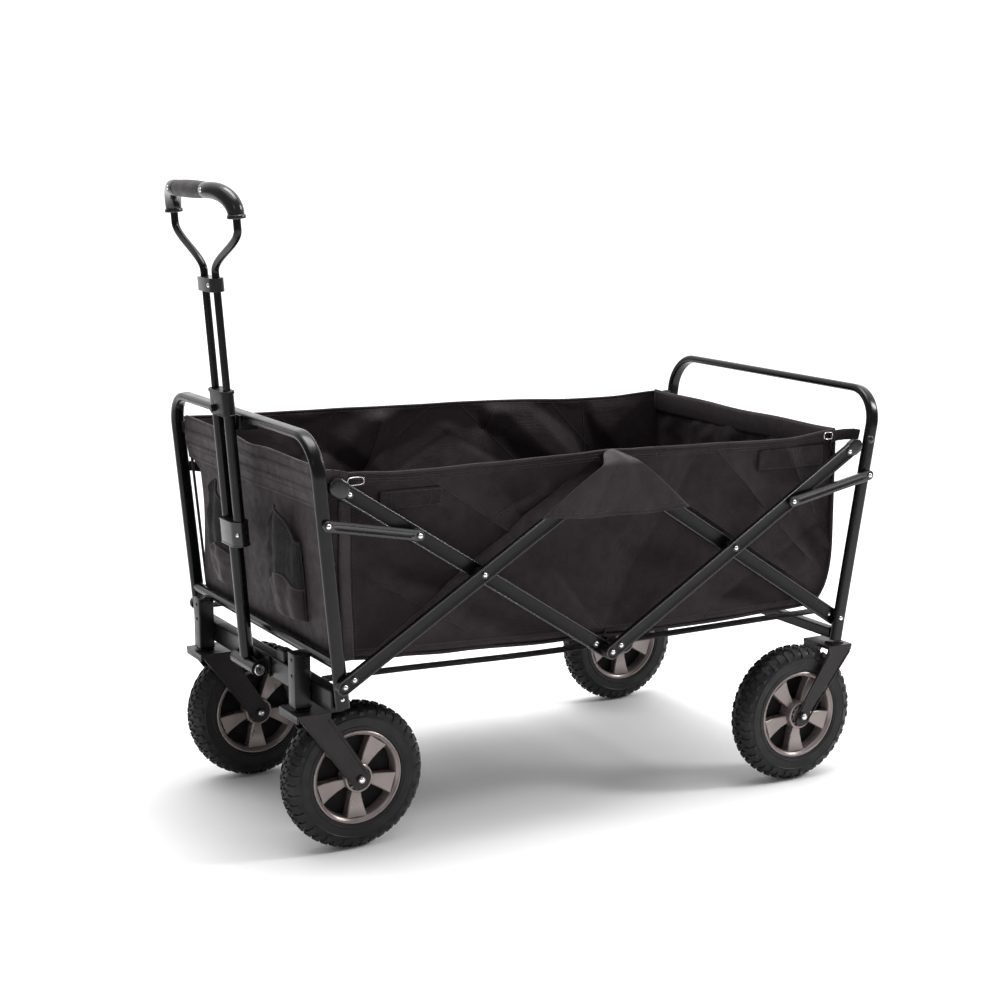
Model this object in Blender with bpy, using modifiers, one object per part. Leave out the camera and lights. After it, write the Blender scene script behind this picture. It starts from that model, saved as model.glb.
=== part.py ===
"""Folding camp wagon: two tube end frames joined by a double scissor on each side.

Metres, +Z up.  -X is the front (pull handle and swivel castors), +X the rear, -Y the near side.
The ground is Z = 0, and X = 0 is the middle of the overall length.  The wagon stands open, with its handle
parked upright and pulled out to its full length.
"""

import math

import bmesh
import bpy
from mathutils import Matrix, Vector

# ---------------------------------------------------------------- driving dimensions
GAP = 0.0003               # running gap between pieces that touch

SPAN = 0.8485              # front frame to rear frame, between their bar pivots
FRONT_PIVOT_Z = 0.2610     # height of the bar pivot on each frame
REAR_PIVOT_Z = 0.2462
SCISSOR_RISE = 0.2683      # a scissor's upper joints over its lower ones
HALF_WIDTH = 0.263         # middle of the wagon to the middle of an upright
FRONT_LEAN = 0.0906        # forward lean of the front frame, as a slope
REAR_LEAN = 0.160          # backward lean of the rear frame, as a slope
REAR_SPLAY = 0.004         # how much wider the rear frame is at its top, on each side

TUBE_THICK = 0.012         # flattened frame tube, across the wagon
TUBE_DEPTH = 0.020         # flattened frame tube, along the wagon
HOOP_CORNER = 0.052        # bend radius at the top of each frame
FRONT_TOP_Z = 0.5975
FRONT_FOOT_Z = 0.229
REAR_TOP_Z = 0.599
REAR_FOOT_Z = 0.2135
BEAM_FRONT_X = -0.0112     # front face of the front axle beam

BAR_THICK = 0.008
INNER_BAR_WIDTH = 0.023    # the bars inboard of the uprights
OUTER_BAR_WIDTH = 0.021    # the bars outboard of the uprights
TUBE_FACE_Y = TUBE_THICK / 2 + GAP
INNER_BAR_Y = HALF_WIDTH - TUBE_FACE_Y - BAR_THICK / 2
OUTER_BAR_Y = HALF_WIDTH + TUBE_FACE_Y + BAR_THICK / 2
LINK_WIDTH = 0.015
LINK_THICK = 0.006
LINK_ON_BAR = 0.118        # a link's pivot on its bar, from that bar's middle pivot
FRONT_LINK_AT = (-0.0185, 0.4825)
REAR_LINK_AT = (0.8835, 0.4730)

WHEEL_RADIUS = 0.1055
TYRE_HALF = 0.0230
RIM_RADIUS = 0.0670
HUB_RADIUS = 0.021
WINDOWS = 5
AXLE_RADIUS = 0.004
FORK_INNER = 0.028         # wheel's middle to a fork leg's inner face
FORK_PLATE = 0.003
CROWN_Z = 0.2045           # underside of a fork's crown plate
CROWN_THICK = 0.005

SWIVEL_X = -0.0235         # castor swivel axis
SWIVEL_Y = 0.181
TRAIL = 0.076              # castor axle behind its swivel axis
REAR_WHEEL_X = 0.771
REAR_WHEEL_Y = 0.2485

HANDLE_X = -0.0265         # handle pivot
HANDLE_Z = 0.2330
HANDLE_LEAN = 0.0735       # forward lean of the parked handle, as a slope
SLEEVE_HALF = 0.037
TWIN_Y = 0.0215            # middle of each of the two handle tubes
GRIP_Z = 0.9140
GRIP_HALF = 0.0515
GRIP_FORWARD = 0.015
GRIP_RADIUS = 0.012
LOOP_HALF = 0.119          # middle of the handle's loop to the middle of each side tube

BAG_HALF = 0.245
BAG_FLOOR_Z = 0.2640
BAG_TOE_Z = 0.2860         # the floor's front edge, which is drawn up
BAG_RIM_Z = 0.5380
BAG_FRONT_RIM_Z = 0.5580
BAG_REAR_RIM_Z = 0.5450
BAG_REAR_X = 0.8445
CLOTH = 0.003

LATTICE = math.hypot(SPAN, FRONT_PIVOT_Z - REAR_PIVOT_Z)
ARM = math.hypot(LATTICE / 4, SCISSOR_RISE / 2)                  # half a bar, pivot to pivot
FALL = math.atan2(FRONT_PIVOT_Z - REAR_PIVOT_Z, SPAN)            # the lattice runs down to the rear
RISING = math.atan2(SCISSOR_RISE / 2, LATTICE / 4) - FALL        # slope of a bar that rises to the rear
FALLING = math.atan2(SCISSOR_RISE / 2, LATTICE / 4) + FALL       # slope of one that falls to the rear

HANDLE_TILT = math.atan(HANDLE_LEAN)
GRIP_UP = (GRIP_Z - HANDLE_Z) / math.cos(HANDLE_TILT)
FRONT_END = (HANDLE_X - GRIP_UP * math.sin(HANDLE_TILT) - GRIP_FORWARD * math.cos(HANDLE_TILT) - GRIP_RADIUS)
REAR_END = SPAN + REAR_LEAN * (REAR_TOP_Z - REAR_PIVOT_Z) + TUBE_DEPTH / 2
MIDDLE_X = (FRONT_END + REAR_END) / 2

SIDES = {"near": -1, "far": 1}


def at(x, y, z):
    """World point for a place whose X is given from the front frame's pivots."""
    return Vector((x - MIDDLE_X, y, z))


# ---------------------------------------------------------------- scene, collections, materials
for old in list(bpy.data.objects):
    bpy.data.objects.remove(old, do_unlink=True)

wagon = bpy.data.collections.new("camp_wagon")
cutters = bpy.data.collections.new("cutters")
bpy.context.scene.collection.children.link(wagon)
bpy.context.scene.collection.children.link(cutters)


def material(name, colour, roughness, metallic=0.0):
    mat = bpy.data.materials.new(name)
    mat.use_nodes = True
    shader = mat.node_tree.nodes["Principled BSDF"]
    shader.inputs["Base Color"].default_value = (*colour, 1)
    shader.inputs["Roughness"].default_value = roughness
    shader.inputs["Metallic"].default_value = metallic
    return mat


POWDER = material("powder_coat", (0.025, 0.024, 0.026), 0.45)
BOLT = material("zinc_bolt", (0.7, 0.7, 0.7), 0.3, 1.0)
RUBBER = material("tyre_rubber", (0.03, 0.029, 0.03), 0.75)
RIM_PAINT = material("rim_plastic", (0.13, 0.115, 0.11), 0.35)
PLASTIC = material("black_plastic", (0.02, 0.02, 0.022), 0.4)
SOFT_GRIP = material("soft_grip", (0.09, 0.08, 0.08), 0.7)
POLYESTER = material("polyester", (0.045, 0.040, 0.045), 0.85)
MESH_CLOTH = material("mesh_cloth", (0.03, 0.03, 0.03), 0.9)


# ---------------------------------------------------------------- helpers
def place(name, mesh, mat, location=(0, 0, 0), rotation_y=0.0, collection=wagon):
    obj = bpy.data.objects.new(name, mesh)
    collection.objects.link(obj)
    obj.location = location
    obj.rotation_euler = (0, rotation_y, 0)
    if mat and not mesh.materials:
        mesh.materials.append(mat)
    return obj


def mark_smooth(mesh, angle):
    """Smooth shading, with edges sharper than the angle kept crisp."""
    mesh.shade_smooth()
    mesh.set_sharp_from_angle(angle=math.radians(angle))
    return mesh


def evaluated(obj):
    """The object's mesh with its modifiers applied, in its own space; the object goes."""
    graph = bpy.context.evaluated_depsgraph_get()
    mesh = bpy.data.meshes.new_from_object(obj.evaluated_get(graph))
    bpy.data.objects.remove(obj, do_unlink=True)
    bm = bmesh.new()
    bm.from_mesh(mesh)
    bmesh.ops.remove_doubles(bm, verts=bm.verts, dist=1e-5)
    bmesh.ops.recalc_face_normals(bm, faces=bm.faces)
    bm.to_mesh(mesh)
    bm.free()
    return mesh


def block_mesh(low, high, bevel=0.0):
    """A box between two corners, with its edges rounded."""
    bm = bmesh.new()
    bmesh.ops.create_cube(bm, size=1)
    low = Vector(low)
    high = Vector(high)
    size = high - low
    middle = (high + low) / 2
    bmesh.ops.transform(bm, matrix=Matrix.Translation(middle) @ Matrix.Diagonal((*size, 1)), verts=bm.verts)
    if bevel:
        bmesh.ops.bevel(bm, geom=bm.edges, offset=bevel, segments=2, affect="EDGES", profile=0.7)
    mesh = bpy.data.meshes.new("block")
    bm.to_mesh(mesh)
    bm.free()
    return mesh


def rod_mesh(radius, start, end, sides=20):
    """A capped cylinder between two points."""
    bm = bmesh.new()
    start = Vector(start)
    end = Vector(end)
    way = end - start
    turn = Vector((0, 0, 1)).rotation_difference(way).to_matrix().to_4x4()
    bmesh.ops.create_cone(bm, cap_ends=True, segments=sides, radius1=radius, radius2=radius, depth=way.length)
    bmesh.ops.transform(bm, matrix=Matrix.Translation((start + end) / 2) @ turn, verts=bm.verts)
    mesh = bpy.data.meshes.new("rod")
    bm.to_mesh(mesh)
    bm.free()
    return mark_smooth(mesh, 40)


def turned_mesh(profile, steps, close=True):
    """A profile of (radius, along) points turned about Y; a closed profile makes a ring."""
    mesh = bpy.data.meshes.new("profile")
    edges = [(i, i + 1) for i in range(len(profile) - 1)]
    if close:
        edges.append((len(profile) - 1, 0))
    mesh.from_pydata([(r, 0, a) for r, a in profile], edges, [])
    obj = place("profile", mesh, None, collection=cutters)
    screw = obj.modifiers.new("turn", "SCREW")
    screw.steps = steps
    screw.render_steps = steps
    screw.use_merge_vertices = True
    screw.merge_threshold = 0.00001
    bpy.context.view_layer.update()
    turned = evaluated(obj)
    turned.transform(Matrix.Rotation(-math.pi / 2, 4, "X"))
    return mark_smooth(turned, 35)


def tube_mesh(points, radius):
    """A solid round bar along a list of points."""
    curve = bpy.data.curves.new("path", "CURVE")
    curve.dimensions = "3D"
    curve.bevel_depth = radius
    curve.bevel_resolution = 3
    curve.use_fill_caps = True
    spline = curve.splines.new("POLY")
    spline.points.add(len(points) - 1)
    for point, place_at in zip(spline.points, points):
        point.co = (*place_at, 1)
    obj = bpy.data.objects.new("path", curve)
    cutters.objects.link(obj)
    bpy.context.view_layer.update()
    return mark_smooth(evaluated(obj), 40)


def plate_mesh(outline, low_y, high_y):
    """A flat (x, z) outline as a plate between two Y values."""
    curve = bpy.data.curves.new("outline", "CURVE")
    curve.dimensions = "2D"
    curve.fill_mode = "BOTH"
    curve.extrude = (high_y - low_y) / 2
    spline = curve.splines.new("POLY")
    spline.use_cyclic_u = True
    spline.points.add(len(outline) - 1)
    for point, (x, z) in zip(spline.points, outline):
        point.co = (x, z, 0, 1)
    obj = bpy.data.objects.new("outline", curve)
    cutters.objects.link(obj)
    bpy.context.view_layer.update()
    mesh = evaluated(obj)
    upright = Matrix.Rotation(math.pi / 2, 4, "X")
    mesh.transform(Matrix.Translation((0, (low_y + high_y) / 2, 0)) @ upright)
    return mark_smooth(mesh, 30)


def combine(base, others, operation, smooth_angle=30):
    """Join meshes to a mesh, or cut them from it, one exact Boolean at a time."""
    obj = place("base", base, None, collection=cutters)
    tools = []
    for mesh in others:
        tool = place("tool", mesh, None, collection=cutters)
        tool.hide_render = True
        tool.display_type = "WIRE"
        boolean = obj.modifiers.new("boolean", "BOOLEAN")
        boolean.operation = operation
        boolean.object = tool
        boolean.solver = "EXACT"
        tools.append(tool)
    bpy.context.view_layer.update()
    mesh = evaluated(obj)
    for tool in tools:
        bpy.data.objects.remove(tool, do_unlink=True)
    return mark_smooth(mesh, smooth_angle)


def arc(centre, radius, start, end, steps):
    """Points on a circle's arc, with both angles in degrees."""
    points = []
    for i in range(steps + 1):
        turn = math.radians(start + (end - start) * i / steps)
        points.append((centre[0] + radius * math.cos(turn), centre[1] + radius * math.sin(turn)))
    return points


def slot_outline(start, end, radius, steps=8):
    """Outline of a straight strip with two round ends, along its own X axis."""
    right = arc((end, 0), radius, -90, 90, steps)
    left = arc((start, 0), radius, 90, 270, steps)
    return right + left


# ---------------------------------------------------------------- end frames
def hoop(name, base, lean, foot_z, top_z, splay=0.0):
    """An upside-down U of flattened tube, leaning by a turn about its bar pivots."""
    tilt = math.atan(lean)
    foot = (foot_z - base.z) / math.cos(tilt)
    top = (top_z - base.z) / math.cos(tilt)
    wide = HALF_WIDTH + splay
    near_corner = arc((-wide + HOOP_CORNER, top - HOOP_CORNER), HOOP_CORNER, 180, 90, 7)
    far_corner = arc((wide - HOOP_CORNER, top - HOOP_CORNER), HOOP_CORNER, 90, 0, 7)
    near_leg = [(-HALF_WIDTH, foot), (-HALF_WIDTH, 0)]
    path = near_leg + near_corner + far_corner + [(HALF_WIDTH, 0), (HALF_WIDTH, foot)]
    mesh = tube_mesh([(0, y, z) for y, z in path], TUBE_THICK / 2)
    mesh.transform(Matrix.Diagonal((TUBE_DEPTH / TUBE_THICK, 1, 1, 1)))
    return place(name, mesh, POWDER, base, tilt)


def handle_bracket():
    """A plate on the axle beam, with a bored ear at each end of the handle's sleeve."""
    ear_in = SLEEVE_HALF + GAP
    ear_out = ear_in + 0.004
    ear_root = BEAM_FRONT_X - 0.0020
    ear = [(ear_root, 0.2235), (ear_root, 0.2485)] + arc((HANDLE_X, HANDLE_Z), 0.011, 90, 270, 8)
    ears = [plate_mesh(ear, ear_in, ear_out), plate_mesh(ear, -ear_out, -ear_in)]
    back_half = ear_out + 0.010
    back_low = (BEAM_FRONT_X - 0.0035, -back_half, 0.2225)
    back_high = (BEAM_FRONT_X - GAP, back_half, 0.2515)
    bracket = combine(block_mesh(back_low, back_high), ears, "UNION")
    bore = rod_mesh(0.0053, (HANDLE_X, -0.08, HANDLE_Z), (HANDLE_X, 0.08, HANDLE_Z), 20)
    place("handle_bracket", combine(bracket, [bore], "DIFFERENCE"), POWDER, at(0, 0, 0))


def hoop_clip():
    """The clip that hooks round the top rail and steadies the parked handle."""
    rail_x = -FRONT_LEAN * (FRONT_TOP_Z - FRONT_PIVOT_Z)
    clip = block_mesh((-0.0438, -0.035, 0.5790), (-0.0155, 0.018, 0.6005), 0.0015)
    rail_cut = rod_mesh(TUBE_THICK / 2 + 2 * GAP, (0, -0.06, 0), (0, 0.06, 0), 24)
    rail_cut.transform(Matrix.Diagonal((TUBE_DEPTH / TUBE_THICK, 1, 1, 1)))
    lean = Matrix.Rotation(-math.atan(FRONT_LEAN), 4, "Y")
    rail_cut.transform(Matrix.Translation((rail_x, 0, FRONT_TOP_Z)) @ lean)
    place("hoop_clip", combine(clip, [rail_cut], "DIFFERENCE"), PLASTIC, at(0, 0, 0))


def build_front_frame():
    inside = HALF_WIDTH - TUBE_FACE_Y
    hoop("front_hoop", at(0, 0, FRONT_PIVOT_Z), -FRONT_LEAN, FRONT_FOOT_Z, FRONT_TOP_Z)
    rod = rod_mesh(0.008, (0, -inside, 0), (0, inside, 0), 18)
    place("front_crossbar", rod, POWDER, at(-0.003, 0, 0.290))
    beam = block_mesh((BEAM_FRONT_X, -inside, 0.2225), (0.0088, inside, 0.2525), 0.002)
    place("front_axle_beam", beam, POWDER, at(0, 0, 0))
    housing = block_mesh((-0.0120, -0.0120, 0.2130), (0.0120, 0.0120, 0.2900), 0.002)
    for side, sign in SIDES.items():
        place("castor_housing_" + side, housing, POWDER, at(SWIVEL_X, sign * SWIVEL_Y, 0))
    handle_bracket()
    hoop_clip()
    stop = block_mesh((-0.0100, -0.0950, 0.2525 + GAP), (0.0070, -0.0680, 0.2690), 0.002)
    place("handle_stop", stop, PLASTIC, at(0, 0, 0))


def build_rear_frame():
    inside = HALF_WIDTH - TUBE_FACE_Y
    hoop("rear_hoop", at(SPAN, 0, REAR_PIVOT_Z), REAR_LEAN, REAR_FOOT_Z, REAR_TOP_Z, REAR_SPLAY)
    beam = block_mesh((0.8345, -inside, 0.2165), (0.8500, inside, 0.2325), 0.002)
    place("rear_crossbar", beam, POWDER, at(0, 0, 0))


# ---------------------------------------------------------------- wheels and forks
def leg_outline(crown_front, crown_back, axle, end_radius):
    """Side view of a fork leg: wide where it meets the middle of the crown plate, round at the axle."""
    top = CROWN_Z + CROWN_THICK / 2
    shoulder = CROWN_Z - 0.003
    round_end = arc(axle, end_radius, -150, 20, 10)
    front = [(crown_front, top), (crown_front, shoulder)]
    return front + round_end + [(crown_back, shoulder), (crown_back, top)]


def fork_mesh(leg_front, crown_front, crown_back, axle, end_radius):
    """Two legs under a crown plate that stands just proud of them, bored for the axle.

    Where the crown reaches past the legs, its front edge is turned down into a lip.
    """
    outline = leg_outline(leg_front, crown_back, axle, end_radius)
    outer = FORK_INNER + FORK_PLATE
    legs = [plate_mesh(outline, FORK_INNER, outer), plate_mesh(outline, -outer, -FORK_INNER)]
    lip = 0.0004
    corner = (crown_back + lip, outer + lip, CROWN_Z + CROWN_THICK)
    crown = block_mesh((crown_front - lip, -outer - lip, CROWN_Z), corner)
    if leg_front > crown_front:
        inner = (crown_front + 0.003, outer - lip, CROWN_Z + CROWN_THICK / 2)
        legs.append(block_mesh((crown_front, lip - outer, CROWN_Z - 0.006), inner))
    fork = combine(crown, legs, "UNION")
    bore = rod_mesh(AXLE_RADIUS + GAP, (axle[0], -0.05, axle[1]), (axle[0], 0.05, axle[1]), 20)
    return combine(fork, [bore], "DIFFERENCE")


def axle_mesh():
    """An axle bolt along Y with a head and a nut outside the fork legs."""
    face = FORK_INNER + FORK_PLATE + GAP
    head = 0.0065
    profile = [(0, face + 0.004), (head - 0.001, face + 0.004), (head, face + 0.003), (head, face),
               (AXLE_RADIUS, face), (AXLE_RADIUS, -face), (head, -face), (head, -face - 0.003),
               (head - 0.001, -face - 0.004), (0, -face - 0.004)]
    return turned_mesh(profile, 16, close=False)


def tyre_mesh():
    """A round-shouldered tyre with its bead on the rim."""
    crown = WHEEL_RADIUS
    half = TYRE_HALF
    side = [(crown, half * 0.42), (crown - 0.004, half * 0.78), (crown - 0.014, half),
            (RIM_RADIUS + 0.010, half), (RIM_RADIUS, half * 0.86)]
    return turned_mesh(side + [(r, -a) for r, a in reversed(side)], 40)


def rim_mesh():
    """A dished rim with a hub, and windows cut between its spokes."""
    edge = RIM_RADIUS - GAP
    lip = 0.0190
    web = 0.0120
    hub = 0.0265
    bore = AXLE_RADIUS + GAP
    side = [(bore, hub), (HUB_RADIUS - 0.003, hub), (HUB_RADIUS, hub - 0.003), (HUB_RADIUS, web),
            (0.0570, web), (0.0600, lip), (edge, lip)]
    rim = turned_mesh(side + [(r, -a) for r, a in reversed(side)], 40)
    windows = []
    for i in range(WINDOWS):
        turn = 360 / WINDOWS * i + 18
        outer = arc((0, 0), 0.0555, turn - 18, turn + 18, 4)
        inner = arc((0, 0), 0.0265, turn + 14, turn - 14, 2)
        windows.append(plate_mesh(outer + inner, -0.03, 0.03))
    return combine(rim, windows, "DIFFERENCE", 35)


def build_wheels():
    tyre = tyre_mesh()
    rim = rim_mesh()
    bolt = axle_mesh()
    axle_x = {"front": SWIVEL_X + TRAIL, "rear": REAR_WHEEL_X}
    track = {"front": SWIVEL_Y, "rear": REAR_WHEEL_Y}
    for end in ("front", "rear"):
        for side, sign in SIDES.items():
            hub = at(axle_x[end], sign * track[end], WHEEL_RADIUS)
            place("tyre_" + end + "_" + side, tyre, RUBBER, hub)
            place("rim_" + end + "_" + side, rim, RIM_PAINT, hub)
            place("axle_" + end + "_" + side, bolt, BOLT, hub)


def build_forks():
    # Castor fork, about its swivel axis, with the race that turns under its housing.
    castor = fork_mesh(-0.0130, -0.0180, 0.0320, (TRAIL, WHEEL_RADIUS), 0.0150)
    race = rod_mesh(0.0110, (0, 0, CROWN_Z + CROWN_THICK - 0.002), (0, 0, 0.2130 - GAP), 20)
    castor = combine(castor, [race], "UNION")
    for side, sign in SIDES.items():
        place("castor_fork_" + side, castor, POWDER, at(SWIVEL_X, sign * SWIVEL_Y, 0))

    # Rear fork, with a seat under the foot of a rear upright; the leaning foot's rear edge is its lowest.
    fixed = fork_mesh(0.8180, 0.8180, 0.8620, (REAR_WHEEL_X, WHEEL_RADIUS), 0.0150)
    foot_low = CROWN_Z + CROWN_THICK - 0.002
    foot_high = REAR_FOOT_Z - REAR_LEAN * TUBE_DEPTH / 2 - GAP
    for side, sign in SIDES.items():
        inset = sign * (HALF_WIDTH - REAR_WHEEL_Y)
        seat = block_mesh((0.8295, inset - 0.0085, foot_low), (0.8525, inset + 0.0085, foot_high))
        fork = combine(fixed.copy(), [seat], "UNION")
        place("rear_fork_" + side, fork, POWDER, at(0, sign * REAR_WHEEL_Y, 0))


# ---------------------------------------------------------------- scissor bars and links
def bar_mesh(start, end, width, bosses, sign):
    """A flat bar along X, with a spacer boss on its outer face at each place listed."""
    half = BAR_THICK / 2
    bar = plate_mesh(slot_outline(start, end, width / 2), -half, half)
    if not bosses:
        return bar
    reach = half + TUBE_THICK + GAP
    spacers = [rod_mesh(0.0065, (x, sign * (half - 0.002), 0), (x, sign * reach, 0), 16) for x in bosses]
    return combine(bar, spacers, "UNION")


def build_bars():
    """On each side, two crossed pairs: rising bars outboard of the uprights, falling bars inboard."""
    mid = (ARM * math.cos(RISING), FRONT_PIVOT_Z + ARM * math.sin(RISING))
    low = (mid[0] + ARM * math.cos(FALLING), mid[1] - ARM * math.sin(FALLING))
    rear_mid = (low[0] + ARM * math.cos(RISING), low[1] + ARM * math.sin(RISING))
    for side, sign in SIDES.items():
        outer = sign * OUTER_BAR_Y
        inner = sign * INNER_BAR_Y
        rising = bar_mesh(-0.001, 2 * ARM + 0.001, OUTER_BAR_WIDTH, [], sign)
        rear_rising = bar_mesh(-0.001, 2 * ARM + 0.007, OUTER_BAR_WIDTH, [], sign)
        front_falling = bar_mesh(-ARM - 0.001, ARM + 0.001, INNER_BAR_WIDTH, [-LINK_ON_BAR, 0, ARM], sign)
        rear_falling = bar_mesh(-ARM - 0.001, ARM + 0.001, INNER_BAR_WIDTH, [-ARM, 0], sign)
        place("bar_front_rising_" + side, rising, POWDER, at(0, outer, FRONT_PIVOT_Z), -RISING)
        place("bar_front_falling_" + side, front_falling, POWDER, at(mid[0], inner, mid[1]), FALLING)
        place("bar_rear_rising_" + side, rear_rising, POWDER, at(low[0], outer, low[1]), -RISING)
        place("bar_rear_falling_" + side, rear_falling, POWDER, at(rear_mid[0], inner, rear_mid[1]), FALLING)


def link_mesh(length, boss, sign):
    """A strip with a long groove in its outer face, and a spacer boss on its inner face when asked."""
    half = LINK_THICK / 2
    strip = plate_mesh(slot_outline(0, length, LINK_WIDTH / 2), -half, half)
    face = sign * (half - 0.002)
    beyond = sign * (half + 0.001)
    groove = slot_outline(0.014, length - 0.014, LINK_WIDTH / 5, 6)
    groove = plate_mesh(groove, min(face, beyond), max(face, beyond))
    link = combine(strip, [groove], "DIFFERENCE")
    if boss:
        spacer = rod_mesh(0.006, (0, -sign * (half - 0.002), 0), (0, -sign * (half + boss), 0), 16)
        link = combine(link, [spacer], "UNION")
    return link


def build_links():
    """Short links from each upright to the bar end beside it; the rear ones run over their bars."""
    front_end = (ARM * math.cos(RISING) - LINK_ON_BAR * math.cos(FALLING),
                 FRONT_PIVOT_Z + ARM * math.sin(RISING) + LINK_ON_BAR * math.sin(FALLING))
    low = (ARM * (math.cos(RISING) + math.cos(FALLING)),
           FRONT_PIVOT_Z + ARM * (math.sin(RISING) - math.sin(FALLING)))
    along = ARM + LINK_ON_BAR
    rear_end = (low[0] + along * math.cos(RISING), low[1] + along * math.sin(RISING))
    front_layer = OUTER_BAR_Y - (BAR_THICK - LINK_THICK) / 2
    rear_layer = OUTER_BAR_Y + (BAR_THICK + LINK_THICK) / 2 + GAP
    plan = {"front": (FRONT_LINK_AT, front_end, front_layer, 0),
            "rear": (REAR_LINK_AT, rear_end, rear_layer, BAR_THICK - REAR_SPLAY)}
    for end, (frame_at, bar_at, layer, boss) in plan.items():
        reach = bar_at[0] - frame_at[0]
        climb = bar_at[1] - frame_at[1]
        for side, sign in SIDES.items():
            link = link_mesh(math.hypot(reach, climb), boss, sign)
            spot = at(frame_at[0], sign * layer, frame_at[1])
            place("link_" + end + "_" + side, link, POWDER, spot, -math.atan2(climb, reach))


# ---------------------------------------------------------------- pull handle
def up_handle(along, y=0.0, forward=0.0):
    """A point in the handle's own frame: up its length, across, and forward of its axis."""
    return Vector((-forward, y, along))


def pill_mesh(half, radius, low, high):
    """A block with round ends that wraps two tubes, standing along Z."""
    mesh = plate_mesh(slot_outline(-half, half, radius), low, high)
    mesh.transform(Matrix(((0, 0, 1, 0), (1, 0, 0, 0), (0, 1, 0, 0), (0, 0, 0, 1))))
    return mesh


def twin_bores(radius, low, high):
    """Cutters for the two handle tubes, a little longer than the piece they pass through."""
    return [rod_mesh(radius, up_handle(low - 0.01, s * TWIN_Y), up_handle(high + 0.01, s * TWIN_Y), 20)
            for s in (-1, 1)]


def level(z):
    """Distance up the handle to a height above the ground."""
    return (z - HANDLE_Z) / math.cos(HANDLE_TILT)


def add_to_handle(name, mesh, mat):
    place(name, mesh, mat, at(HANDLE_X, 0, HANDLE_Z), -HANDLE_TILT)


def build_lower_handle():
    """Sleeve on its bolt, single tube, collar, twin tubes and the release block."""
    sleeve = [(0.0053, SLEEVE_HALF), (0.0108, SLEEVE_HALF), (0.0108, -SLEEVE_HALF), (0.0053, -SLEEVE_HALF)]
    add_to_handle("handle_sleeve", turned_mesh(sleeve, 24), POWDER)
    face = SLEEVE_HALF + 0.004 + 2 * GAP
    head = [(0, face + 0.005), (0.007, face + 0.005), (0.008, face + 0.004), (0.008, face), (0.005, face)]
    bolt = head + [(r, -a) for r, a in reversed(head)]
    place("handle_pivot_bolt", turned_mesh(bolt, 20, close=False), BOLT, at(HANDLE_X, 0, HANDLE_Z))

    collar_low = level(0.411)
    collar_high = level(0.448)
    block_low = level(0.5985)
    block_high = level(0.634)
    tube = rod_mesh(0.010, up_handle(0.0108 + GAP), up_handle(collar_low - GAP), 24)
    add_to_handle("handle_lower_tube", tube, POWDER)
    add_to_handle("handle_collar", pill_mesh(0.018, 0.0133, collar_low, collar_high), PLASTIC)
    for side, sign in SIDES.items():
        ring = [(0.0060, block_low - GAP), (0.0080, block_low - GAP), (0.0080, collar_high + GAP),
                (0.0060, collar_high + GAP)]
        outer = turned_mesh(ring, 20)
        outer.transform(Matrix.Translation((0, sign * TWIN_Y, 0)) @ Matrix.Rotation(math.pi / 2, 4, "X"))
        add_to_handle("handle_outer_tube_" + side, outer, POWDER)

    button_up = block_low + 0.010
    cuts = twin_bores(0.0060, block_low, block_high)
    cuts.append(rod_mesh(0.0054, (-0.020, 0.008, button_up), (-0.002, 0.008, button_up), 20))
    block = combine(pill_mesh(TWIN_Y, 0.0092, block_low, block_high), cuts, "DIFFERENCE")
    add_to_handle("handle_block", block, PLASTIC)
    button = rod_mesh(0.0050, (-0.0160, 0.008, button_up), (-0.0060, 0.008, button_up), 20)
    add_to_handle("release_button", button, PLASTIC)


def build_upper_handle():
    """Twin tubes that slide in the lower handle and flare into a loop, with its clamp, covers and grip."""
    clamp_low = level(0.7727)
    clamp_high = level(0.7921)
    flare_low = level(0.800)
    flare_high = level(0.862)
    cover_low = level(0.878)
    bend = []
    for i in range(9):
        share = i / 8
        ease = share * share * (3 - 2 * share)
        bend.append((TWIN_Y + (LOOP_HALF - TWIN_Y) * ease, flare_low + (flare_high - flare_low) * share))
    bulge = 0.004
    radius_y = LOOP_HALF - GRIP_HALF - GAP - 0.016
    radius_z = GRIP_UP - cover_low - bulge
    for side, sign in SIDES.items():
        path = [up_handle(level(0.582), sign * TWIN_Y)]
        path += [up_handle(up, sign * y) for y, up in bend]
        path.append(up_handle(cover_low - GAP, sign * LOOP_HALF))
        add_to_handle("handle_inner_tube_" + side, tube_mesh(path, 0.0055), POWDER)

        cover = [up_handle(cover_low, sign * LOOP_HALF)]
        for i in range(9):
            turn = math.radians(90 * i / 8)
            y = LOOP_HALF - radius_y * (1 - math.cos(turn))
            up = cover_low + bulge + radius_z * math.sin(turn)
            cover.append(up_handle(up, sign * y, GRIP_FORWARD * (1 - math.cos(turn))))
        cover.append(up_handle(GRIP_UP, sign * (GRIP_HALF + GAP), GRIP_FORWARD))
        add_to_handle("grip_corner_" + side, tube_mesh(cover, 0.0115), PLASTIC)

    bores = twin_bores(0.0058, clamp_low, clamp_high)
    clamp = combine(pill_mesh(TWIN_Y, 0.0105, clamp_low, clamp_high), bores, "DIFFERENCE")
    add_to_handle("handle_clamp", clamp, PLASTIC)

    slim = GRIP_RADIUS - 0.0015
    waist = GRIP_HALF * 0.6
    grip = [(0, GRIP_HALF), (slim, GRIP_HALF), (GRIP_RADIUS - 0.0005, waist), (GRIP_RADIUS, 0),
            (GRIP_RADIUS - 0.0005, -waist), (slim, -GRIP_HALF), (0, -GRIP_HALF)]
    grip_solid = turned_mesh(grip, 24, close=False)
    grip_solid.transform(Matrix.Translation(up_handle(GRIP_UP, 0, GRIP_FORWARD)))
    add_to_handle("handle_grip", grip_solid, SOFT_GRIP)


# ---------------------------------------------------------------- soft parts
def front_panel_x(z):
    """Outer face of the bag's front panel, which leans with the front frame."""
    return 0.0085 - FRONT_LEAN * (z - BAG_FLOOR_Z)


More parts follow.
